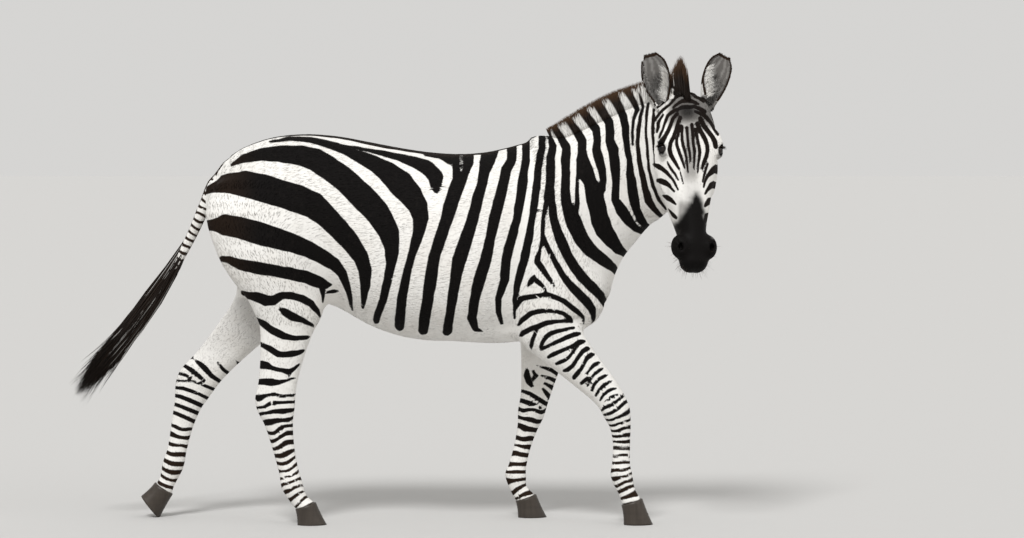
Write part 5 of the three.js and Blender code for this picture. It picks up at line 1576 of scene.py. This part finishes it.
def finish_piece(obj, slot, *nodes):
    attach(obj, "root")
    if nodes:
        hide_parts(*nodes)
    return obj


FLESH = [
    "trunk", "neck", "head", "ear_left", "ear_right", "tail_dock",
    "foreleg_left", "foreleg_right", "hindleg_left", "hindleg_right",
]


def coat_scale(p):
    """How big the tufts are at points, as a share of those on the trunk."""
    q = in_head(p)
    head = smooth(-30, 60, (p - HEAD_PLANE_POINT) @ HEAD_PLANE_NORMAL) * (p[:, 0] > 700)
    scale = 1 - 0.50 * head - 0.12 * head * smooth(380, 520, q[:, 0])
    scale = np.minimum(scale, 0.50 + 0.50 * smooth(400, 860, p[:, 2]))
    for side in (-1, 1):
        ear = EARS[side]
        t = up_ear(p, ear)
        scale = np.where((ear_distance(p, side) < 9) & (t > 0.05), 0.42, scale)
    dock = DOCK.distance(p)
    return np.where((dock < 20) & (p[:, 0] < -650), 0.55, scale)


def near_eyes(p, room):
    return np.min([np.linalg.norm(p - eye_middle(side), axis=1) for side in (-1, 1)], axis=0) < room


FOREHEAD_HEIGHT = 1230
COAT_PIECES = {
    "coat_barrel_right": lambda part, p: (part == PART["trunk"]) & (p[:, 1] < 0),
    "coat_barrel_left": lambda part, p: (part == PART["trunk"]) & (p[:, 1] >= 0),
    "coat_neck": lambda part, p: part == PART["neck"],
    "coat_forehead": lambda part, p: (part == PART["head"]) & (p[:, 2] > FOREHEAD_HEIGHT),
    "coat_face": lambda part, p: (part == PART["head"]) & (p[:, 2] <= FOREHEAD_HEIGHT),
    "coat_ears": lambda part, p: part >= PART["ear_left"],
    "coat_dock": lambda part, p: part == PART["dock"],
    "coat_hindleg_right": lambda part, p: part == PART["hindleg_right"],
    "coat_hindleg_left": lambda part, p: part == PART["hindleg_left"],
    "coat_foreleg_right": lambda part, p: part == PART["foreleg_right"],
    "coat_foreleg_left": lambda part, p: part == PART["foreleg_left"],
}


def make_coat(sizes):
    long_mm, wide_mm, room_mm = sizes.tuft_length / MM, sizes.tuft_width / MM, sizes.tuft_spacing / MM

    def room(p):
        return np.where(near_eyes(p, 21), 0, room_mm * coat_scale(p) ** 0.85)

    p, normals = scatter(room, 3)
    scale = coat_scale(p)
    lie = tangent_field(p, normals)
    rng = np.random.default_rng(8)
    count = len(p)
    swing = rng.normal(0, 0.10, count)[:, None]
    lie = lie + np.cross(normals, lie) * swing
    parts = parts_of(p)
    long = long_mm * scale * rng.uniform(0.75, 1.2, count)
    rise = rng.uniform(0.05, 0.11, count) / np.maximum(scale, 0.6)
    roots = coat_roots(p, normals, lie, long, wide_mm * scale * rng.uniform(0.8, 1.2, count),
                       0.19 * wide_mm * scale, rise, 0.6, parts)
    stations = [markings(p + roots["reach"] * t + roots["sag"] * t * t) for t in (0.05, 0.5, 1.0)]
    for name, test in COAT_PIECES.items():
        own = np.flatnonzero(test(parts, p))
        if len(own):
            piece = grow(name, pick(roots, own), "fur", marks=[pick(m, own) for m in stations])
            finish_piece(piece, "coat")


def along_rows(rows, k):
    return np.array([row_at(rows, value) for value in k])


def make_mane(sizes):
    rng = np.random.default_rng(12)
    count = sizes.mane_locks
    rows = np.array(MANE_ROWS, dtype=float)
    run = run_along(rows[:, 3:6])
    k = np.interp(rng.uniform(run[1] + 26, run[-1], count), run, np.arange(len(run)))
    row = along_rows(MANE_ROWS, k)
    ahead = along_rows(MANE_ROWS, np.minimum(k + 0.3, len(rows) - 1))
    back = along_rows(MANE_ROWS, np.maximum(k - 0.3, 0))
    edge, root, half = row[:, 0:3], row[:, 3:6], row[:, 6]
    along = ahead[:, 3:6] - back[:, 3:6]
    side = np.cross(edge - root, along)
    side /= np.linalg.norm(side, axis=1)[:, None]
    along /= np.linalg.norm(along, axis=1)[:, None]
    # Each lock starts just under the skin.
    shares = np.linspace(0, 0.8, 28)
    start = np.zeros(count)
    across = rng.uniform(-1, 1, count)
    foot = root + side * (across * half * 0.95)[:, None]
    for share in shares:
        d = body_distance(foot + (edge - root) * share)
        start = np.where(d < -7, share, start)
    base = foot + (edge - root) * start[:, None]
    tall = rng.uniform(0.80, 1.0, count) ** 0.7
    tip = root + (edge - root) * (start + (1 - start) * tall)[:, None]
    tip += side * (across * half * 0.42 + rng.normal(0, 2.2, count))[:, None]
    tip -= along * rng.uniform(-5, 13, count)[:, None]
    reach = tip - base
    sag = side * (across * 3 + rng.normal(0, 2, count))[:, None]
    reach = reach - sag
    wide = rng.uniform(2.4, 4.2, count) * np.clip(np.linalg.norm(reach, axis=1) / 90, 0.6, 1)
    uv = unwrap(base, side * np.sign(across)[:, None], np.full(count, PART["neck"]))
    roots = {
        "root": base, "reach": reach, "sag": sag, "side": along * wide[:, None],
        "lift": side * (wide * 0.55)[:, None], "uv": uv,
    }

    def tint(t, number, spots):
        marks = markings(spots)
        tips = (0.76 + 0.08 * np.sin(number * 1.7) - t) * 60
        forelock = smooth(880, 900, spots[:, 0])
        marks["stripe"] = np.minimum(marks["stripe"], tips)
        marks["stripe"] = np.where(forelock > 0.5, -12, marks["stripe"])
        marks["brown"] = 0.10 + 0.75 * smooth(0.50, 0.95, t)
        marks["grey"] = marks["grey"] * 0
        marks["muzzle"] = marks["muzzle"] * 0
        return marks

    piece = grow("mane_hair", roots, "hair", 4, 3, thickness=0.6, fullness=0.7, tint=tint)
    finish_piece(piece, "hair", "mane")


def switch_path():
    """Middle line of the tail from the lower dock to the tip of its hair, with its half height and width."""
    rows = [[x, z, r * 0.5, r * 0.5] for x, z, r in DOCK_ROWS[3:5]] + [list(row) for row in SWITCH_ROWS]
    return np.array(rows, dtype=float)


def make_tail_hair(sizes):
    rng = np.random.default_rng(21)
    count = sizes.tail_locks
    rows = switch_path()
    run = run_along(rows[:, :2])
    total = run[-1]

    def place(distance):
        k = np.interp(distance, run, np.arange(len(run)))
        return along_rows(rows, k)

    from_dock = rng.random(count) < 0.35
    begin = np.where(from_dock, rng.uniform(0, run[2], count), rng.uniform(run[1], run[2] + 60, count))
    end = total * (1 - 0.55 * rng.random(count) ** 1.4)
    end = np.maximum(end, begin + 120)
    end = np.minimum(end, total)
    angle, radius = rng.uniform(0, 2 * np.pi, count), np.sqrt(rng.random(count))

    def spot(distance, spread):
        row = place(distance)
        step = place(np.minimum(distance + 8, total))[:, :2] - place(np.maximum(distance - 8, 0))[:, :2]
        step /= np.linalg.norm(step, axis=1)[:, None]
        up = np.stack([-step[:, 1], np.zeros(count), step[:, 0]], axis=1)
        centre = np.stack([row[:, 0], np.zeros(count), row[:, 1]], axis=1)
        return (centre + up * (np.cos(angle) * radius * row[:, 2] * spread)[:, None]
                + vec(0, 1, 0) * (np.sin(angle) * radius * row[:, 3] * spread)[:, None])

    root = spot(begin, 0.8)
    middle = spot((begin + end) / 2, 0.95)
    stray = rng.random(count) < 0.3
    fan = np.where(stray, rng.uniform(-1, 1, count), 0.0) * smooth(0.62, 0.95, end / total)
    tip = spot(end, 0.9) + rng.normal(0, 5, (count, 3)) + np.outer(fan, [-26, 0, 38])
    reach = 4 * middle - tip - 3 * root
    sag = 2 * root + 2 * tip - 4 * middle
    down = tip - root
    down /= np.linalg.norm(down, axis=1)[:, None]
    side = np.cross(down, np.tile(vec(0, 1, 0), (count, 1)) + rng.normal(0, 0.6, (count, 3)))
    side /= np.linalg.norm(side, axis=1)[:, None]
    lift = np.cross(down, side)
    wide = rng.uniform(2.0, 3.6, count)
    roots = {
        "root": root, "reach": reach, "sag": sag, "side": side * wide[:, None],
        "lift": lift * (wide * 0.5)[:, None], "uv": unwrap(root, side, np.full(count, PART["dock"])),
    }
    pale = rng.random(count) < 0.10

    def tint(t, number, spots):
        stripe = np.where(pale[number] & (t < 0.7), 6.0, -10.0)
        brown = 0.05 + 0.12 * ((number * 0.37) % 1)
        return plain_marks(len(t), stripe, brown, np.where(pale[number], 0.55, 0.0))

    piece = grow("tail_hair", roots, "hair", 6, 3, thickness=0.8, fullness=1.2, tint=tint)
    finish_piece(piece, "hair", "tail_switch")


def make_eye(side):
    middle = eye_middle(side)
    axis = unit(LEFT * side * 0.78 + OUT * 0.62 + ALONG * 0.05)
    bm = bmesh.new()
    bmesh.ops.create_uvsphere(bm, u_segments=48, v_segments=24, radius=EYE_RADIUS)
    ball = bpy.data.meshes.new("eyeball")
    bm.to_mesh(ball)
    bm.free()
    co = np.array([v.co[:] for v in ball.vertices])
    turn = Vector((0, 0, 1)).rotation_difference(Vector(axis)).to_matrix()
    co = co @ np.array(turn).T
    bulge = smooth(0.80, 0.93, co @ axis / EYE_RADIUS)
    placed = middle + co * (1 + 0.035 * bulge)[:, None]
    ball.vertices.foreach_set("co", packed(placed).astype(np.float32).ravel())
    shade_smooth(ball)
    eye = add_object("eyeball_left" if side > 0 else "eyeball_right", ball)
    level = co @ ALONG / EYE_RADIUS
    upright = co @ np.cross(axis, ALONG) / EYE_RADIUS
    front = (co @ axis) > 0
    set_float(eye, "iris", np.where(front, np.hypot(level, upright), 1.0))
    set_float(eye, "pupil", np.where(front, np.hypot(level / 0.62, upright / 0.34), 2.0))
    eye.data.materials.append(material("eye"))
    finish_piece(eye, "eye", "eye_left" if side > 0 else "eye_right")


HOOF_TOE, HOOF_HEEL, HOOF_HALF_WIDTH, HOOF_SUNK = 58, 46, 41, 6


def make_hoof(name, leg_name):
    """A hoof from the hair line to the sole, its wall a little hollow in front and rounded at the heels."""
    leg, limb = LEGS[leg_name], LIMBS[leg_name]
    around, levels = 48, 12
    middle, deep, half, wide = limb.middle[-1], limb.deep[-1], limb.half[-1], limb.wide[-1]
    pitch = math.radians(leg["pitch"])
    forward = vec(math.cos(pitch), 0, -math.sin(pitch))
    up = vec(math.sin(pitch), 0, math.cos(pitch))
    angle = 2 * np.pi * np.arange(around) / around

    def oval(ahead, behind, width, along, notch=0.0):
        heel = behind * (1 - notch * np.exp(-((angle - np.pi) / 0.28) ** 2))
        long = np.where(np.cos(angle) > 0, ahead, heel)
        return np.outer(np.cos(angle) * long, along) + np.outer(np.sin(angle) * width, vec(0, 1, 0))

    below = middle + forward * 14
    flat = below + oval(HOOF_TOE, HOOF_HEEL, HOOF_HALF_WIDTH, forward)
    drop = (flat[:, 2].min() + (HOOF_SUNK if leg["pitch"] else 0)) / up[2]
    rim = below + oval(HOOF_TOE - 0.6, HOOF_HEEL - 0.6, HOOF_HALF_WIDTH - 0.6, forward, 0.16) - up * drop
    band = middle + oval(half + 2.2, half + 2.2, wide + 2.2, deep)
    rings = [middle + oval(half - 5, half - 5, wide - 5, deep) + up * 3]
    for level in range(levels + 1):
        t = level / levels
        ring = band + (rim - band) * t
        centre = ring.mean(axis=0)
        hollow = 1 - 0.035 * math.sin(math.pi * t) + 0.006 * math.sin(t * 34)
        rings.append(centre + (ring - centre) * hollow)
    sole = rings[-1].mean(axis=0)
    rings.append(sole + (rings[-1] - sole) * 0.93)
    rings.append(sole + (rings[-2] - sole) * 0.80 + up * 4)
    vertices = np.concatenate(rings + [[rings[0].mean(axis=0)], [sole + up * 6]])
    vertices[:, 2] = np.maximum(vertices[:, 2], 0)
    faces = []
    for level in range(len(rings) - 1):
        for j in range(around):
            a, b = level * around + j, level * around + (j + 1) % around
            faces.append((a, b, b + around, a + around))
    top, bottom = len(vertices) - 2, len(vertices) - 1
    last = (len(rings) - 1) * around
    for j in range(around):
        faces.append((top, (j + 1) % around, j))
        faces.append((bottom, last + j, last + (j + 1) % around))
    mesh = bpy.data.meshes.new(name)
    mesh.from_pydata(packed(vertices).tolist(), [], faces)
    bm = bmesh.new()
    bm.from_mesh(mesh)
    bmesh.ops.recalc_face_normals(bm, faces=bm.faces)
    bm.to_mesh(mesh)
    bm.free()
    shade_smooth(mesh)
    hoof = add_object(name, mesh)
    hoof.data.materials.append(material("horn"))
    finish_piece(hoof, "horn", leg_name.replace("leg", "hoof"))


def plain_marks(count, stripe, brown=0.0, grey=0.0):
    """Markings of hair that doesn't follow the body's: millimetres from black, shares of brown and grey."""
    values = {"stripe": stripe, "muzzle": 0.0, "brown": brown, "grey": grey}
    return {key: np.zeros(count) + value for key, value in values.items()}


def in_order(*lists):
    return {key: np.concatenate([part[key] for part in lists]) for key in lists[0]}


def fine_hair(root, reach, sag, wide, thick, parts, uv_normals):
    across = np.cross(reach, sag + np.array([0.01, 0.02, 0.03]))
    across /= np.maximum(np.linalg.norm(across, axis=1), 1e-9)[:, None]
    out = np.cross(across, reach)
    out /= np.maximum(np.linalg.norm(out, axis=1), 1e-9)[:, None]
    return {
        "root": root, "reach": reach, "sag": sag, "side": across * wide[:, None],
        "lift": out * thick[:, None], "uv": unwrap(root, uv_normals, parts),
    }


def make_lashes():
    rng = np.random.default_rng(33)
    groups = []
    for side in (-1, 1):
        count = 46
        t = np.linspace(-1, 1, count) + rng.normal(0, 0.03, count)
        middle = eye_middle(side)
        out = unit(LEFT * side * 0.80 + OUT * 0.60)
        root = middle + out * (EYE_RADIUS + 1.5) * np.sqrt(np.clip(1 - 0.55 * t**2, 0, 1))[:, None]
        across = unit(np.cross(out, ALONG))
        root += np.outer(t * 13, across)
        root -= np.outer(9 - 3 * t**2, ALONG)
        reach = out * 15 + np.outer(t * 5, across) - ALONG * 2 + rng.normal(0, 1.2, (count, 3))
        sag = np.tile(ALONG * 5, (count, 1))
        groups.append(fine_hair(root - out * 3, reach, sag, np.full(count, 0.9), np.full(count, 0.5),
                                np.full(count, PART["head"]), np.tile(LEFT * side, (count, 1))))
    roots = in_order(*groups)

    def tint(t, number, spots):
        return plain_marks(len(t), -9.0, brown=0.2)

    finish_piece(grow("lashes", roots, "hair", 3, 3, tint=tint), "hair")


def make_whiskers():
    rng = np.random.default_rng(35)
    count = 110
    v = rng.choice([-1, 1], count) * rng.uniform(8, 50, count)
    u = rng.uniform(500, 588, count)
    w = rng.uniform(-130, -60, count)
    start = from_head(np.stack([u, v, w], axis=1))
    outward = LEFT * (v / 50)[:, None] + ALONG * ((u - 520) / 70)[:, None] + OUT * ((w + 95) / 40)[:, None]
    outward += rng.normal(0, 0.15, (count, 3))
    outward /= np.linalg.norm(outward, axis=1)[:, None]
    for _ in range(24):
        d = skin_distance(start)
        start = start - outward * (d + 1.5)[:, None] * 0.7
    keep = np.abs(skin_distance(start) + 1.5) < 1.5
    start, outward = start[keep], outward[keep]
    long = rng.uniform(14, 34, len(start))
    sag = vec(0, 0, -1) * (long * 0.2)[:, None]
    thin = np.full(len(start), 0.38)
    roots = fine_hair(start, outward * long[:, None], sag, thin, thin,
                      np.full(len(start), PART["head"]), outward)

    def tint(t, number, spots):
        return plain_marks(len(t), -9.0, brown=0.4)

    finish_piece(grow("whiskers", roots, "hair", 3, 3, tint=tint), "hair")


def make_ear_hair():
    rng = np.random.default_rng(37)
    groups, pale = [], []
    for side in (-1, 1):
        ear = EARS[side]
        count = 700
        t = rng.uniform(0.02, 0.66, count) ** 1.1
        inner = rng.random(count) < 0.66
        s = np.where(inner, rng.uniform(0.60, 0.98, count), rng.uniform(-0.95, 0.6, count))
        # The edge that faces the other ear carries the pale fringe.
        toward = np.sign((EARS[-side].root - ear.root) @ ear.across)
        s = s * toward
        root = np.array([ear.point(a, b, 6.5) for a, b in zip(t, s)])
        centre = ear.root + ear.up * (t * EAR_LENGTH)[:, None]
        inward = centre - root
        inward /= np.linalg.norm(inward, axis=1)[:, None]
        long = np.where(inner, rng.uniform(26, 48, count), rng.uniform(14, 30, count)) * (1 - 0.45 * t)
        reach = (ear.up * 0.75 + inward * 0.35 + ear.front * np.where(inner, 0.55, 0.15)[:, None]
                 + rng.normal(0, 0.12, (count, 3))) * long[:, None]
        sag = inward * (long * 0.25)[:, None]
        wide = np.where(inner, 1.7, 1.2)
        groups.append(fine_hair(root - inward * 1.0, reach, sag, wide, wide * 0.5,
                                np.full(count, PART["ear_left" if side > 0 else "ear_right"]),
                                np.tile(ear.front, (count, 1))))
        pale.append(inner)
    pale = np.concatenate(pale)
    roots = in_order(*groups)

    def tint(t, number, spots):
        return plain_marks(len(t), 9.0, grey=np.where(pale[number], 0.0, 0.80))

    finish_piece(grow("ear_hair", roots, "hair", 3, 3, tint=tint), "hair")


FLOOR_SIZE = 60
WORLD_COLOUR, WORLD_STRENGTH = (1.0, 0.99, 0.97, 1), 0.67
# Each light's name, strength, softness and turn in degrees.
LIGHTS = (("key", 2.3, 0.30, (40, 0, -16)), ("fill", 0.35, 0.8, (62, 0, 60)))


def make_stage(context):
    bpy.ops.mesh.primitive_plane_add(size=FLOOR_SIZE, location=(0, 0, 0))
    floor = context.object
    floor.name = "floor"
    n = FinishNodes("floor")
    colour = tuple(context.scene.zebra_colours.floor)
    floor.data.materials.append(n.finish(colour, 0.95, 0.1))
    world = bpy.data.worlds.new("studio")
    context.scene.world = world
    world.use_nodes = True
    background = world.node_tree.nodes["Background"]
    background.inputs["Color"].default_value = WORLD_COLOUR
    background.inputs["Strength"].default_value = WORLD_STRENGTH
    context.scene.view_settings.view_transform = "Standard"
    for name, strength, angle, turn in LIGHTS:
        sun = bpy.data.lights.new(name, "SUN")
        sun.energy = strength
        sun.angle = angle
        lamp = add_object(name, sun)
        lamp.rotation_euler = [math.radians(value) for value in turn]


# ---------------------------------------------------------------- settings, operators and panel


def length_property(name, description, default):
    return bpy.props.FloatProperty(
        name=name, description=description, default=default, min=0.0005, unit="LENGTH")


def count_property(name, description, default):
    return bpy.props.IntProperty(name=name, description=description, default=default, min=100)


class ZebraSizes(bpy.types.PropertyGroup):
    tuft_length: length_property("Coat tuft length", "Length of a tuft on the trunk", 0.017)
    tuft_width: length_property("Coat tuft half width", "Half the width of a tuft on the trunk", 0.0027)
    tuft_spacing: length_property("Coat tuft room", "Room of each tuft on the trunk", 0.0079)
    mane_locks: count_property("Mane locks", "Number of locks in the mane and forelock", 4200)
    tail_locks: count_property("Tail locks", "Number of locks in the tail's tassel", 1700)


def colour_property(name, description, default):
    return bpy.props.FloatVectorProperty(
        name=name, description=description, default=default, size=3, min=0, max=1, subtype="COLOR")


class ZebraColours(bpy.types.PropertyGroup):
    floor: colour_property("Floor", "Colour of the studio floor", (0.53, 0.525, 0.515))
    white: colour_property("White", "Hair between the stripes", (0.80, 0.785, 0.755))
    dusty: colour_property("Dusty white", "Where dust lies in the white hair", (0.56, 0.50, 0.42))
    black: colour_property("Black", "Hair of the stripes", (0.0045, 0.0038, 0.0036))
    brown: colour_property("Brown", "Where black hair turns brown", (0.085, 0.043, 0.020))
    grey: colour_property("Grey", "Skin that shows through thin white hair", (0.050, 0.044, 0.040))
    muzzle: colour_property("Muzzle", "Muzzle, lids and the rims of the ears", (0.0045, 0.0038, 0.0036))


class ZEBRA_OT_stage(bpy.types.Operator):
    """Pale floor, soft lights and the camera"""

    bl_idname = "zebra.stage"
    bl_label = "Stage"

    def execute(self, context):
        make_camera()
        make_stage(context)
        return {"FINISHED"}


class ZEBRA_OT_skin(bpy.types.Operator):
    """One unbroken skin over trunk, neck, head, ears, limbs and dock"""

    bl_idname = "zebra.skin"
    bl_label = "Skin"

    def execute(self, context):
        make_skin()
        unwrap_skin()
        finish_piece(SKIN["object"], "coat", *FLESH)
        return {"FINISHED"}


class ZEBRA_OT_coat(bpy.types.Operator):
    """Short tufts that follow the lie of the coat, smallest on the face and feet"""

    bl_idname = "zebra.coat"
    bl_label = "Coat"

    def execute(self, context):
        make_coat(context.scene.zebra_sizes)
        return {"FINISHED"}


class ZEBRA_OT_mane(bpy.types.Operator):
    """Upright mane and forelock"""

    bl_idname = "zebra.mane"
    bl_label = "Mane"

    def execute(self, context):
        make_mane(context.scene.zebra_sizes)
        return {"FINISHED"}


class ZEBRA_OT_tail(bpy.types.Operator):
    """Long hair of the tail's tassel"""

    bl_idname = "zebra.tail"
    bl_label = "Tail hair"

    def execute(self, context):
        make_tail_hair(context.scene.zebra_sizes)
        return {"FINISHED"}


class ZEBRA_OT_eyes(bpy.types.Operator):
    """Both eyes and their lashes"""

    bl_idname = "zebra.eyes"
    bl_label = "Eyes"

    def execute(self, context):
        for side in (-1, 1):
            make_eye(side)
        make_lashes()
        return {"FINISHED"}


class ZEBRA_OT_face_hair(bpy.types.Operator):
    """Hair in the ears and whiskers on the muzzle"""

    bl_idname = "zebra.face_hair"
    bl_label = "Ear hair and whiskers"

    def execute(self, context):
        make_ear_hair()
        make_whiskers()
        return {"FINISHED"}


class ZEBRA_OT_hooves(bpy.types.Operator):
    """The four hooves"""

    bl_idname = "zebra.hooves"
    bl_label = "Hooves"

    def execute(self, context):
        for leg_name in LEGS:
            make_hoof(leg_name.replace("leg", "hoof") + "_horn", leg_name)
        return {"FINISHED"}


PIECES = [
    ZEBRA_OT_stage, ZEBRA_OT_skin, ZEBRA_OT_eyes, ZEBRA_OT_hooves, ZEBRA_OT_mane, ZEBRA_OT_tail,
    ZEBRA_OT_face_hair, ZEBRA_OT_coat,
]


class ZEBRA_PT_panel(bpy.types.Panel):
    """Sizes and pieces of the zebra"""

    bl_idname = "ZEBRA_PT_panel"
    bl_label = "Plains Zebra"
    bl_space_type = "VIEW_3D"
    bl_region_type = "UI"
    bl_category = "Zebra"

    def draw(self, context):
        for group in (context.scene.zebra_sizes, context.scene.zebra_colours):
            for name in group.bl_rna.properties.keys():
                if name not in ("rna_type", "name"):
                    self.layout.prop(group, name)
        for piece in PIECES:
            self.layout.operator(piece.bl_idname)


CLASSES = [ZebraSizes, ZebraColours, *PIECES, ZEBRA_PT_panel]


def register():
    for made in CLASSES:
        bpy.utils.register_class(made)
    bpy.types.Scene.zebra_sizes = bpy.props.PointerProperty(type=ZebraSizes)
    bpy.types.Scene.zebra_colours = bpy.props.PointerProperty(type=ZebraColours)


def unregister():
    del bpy.types.Scene.zebra_colours
    del bpy.types.Scene.zebra_sizes
    for made in reversed(CLASSES):
        bpy.utils.unregister_class(made)


def main():
    register()
    bpy.ops.zebra.stage()
    bpy.ops.zebra.skin()
    bpy.ops.zebra.eyes()
    bpy.ops.zebra.hooves()
    bpy.ops.zebra.mane()
    bpy.ops.zebra.tail()
    bpy.ops.zebra.face_hair()
    bpy.ops.zebra.coat()


if __name__ == "__main__":
    main()
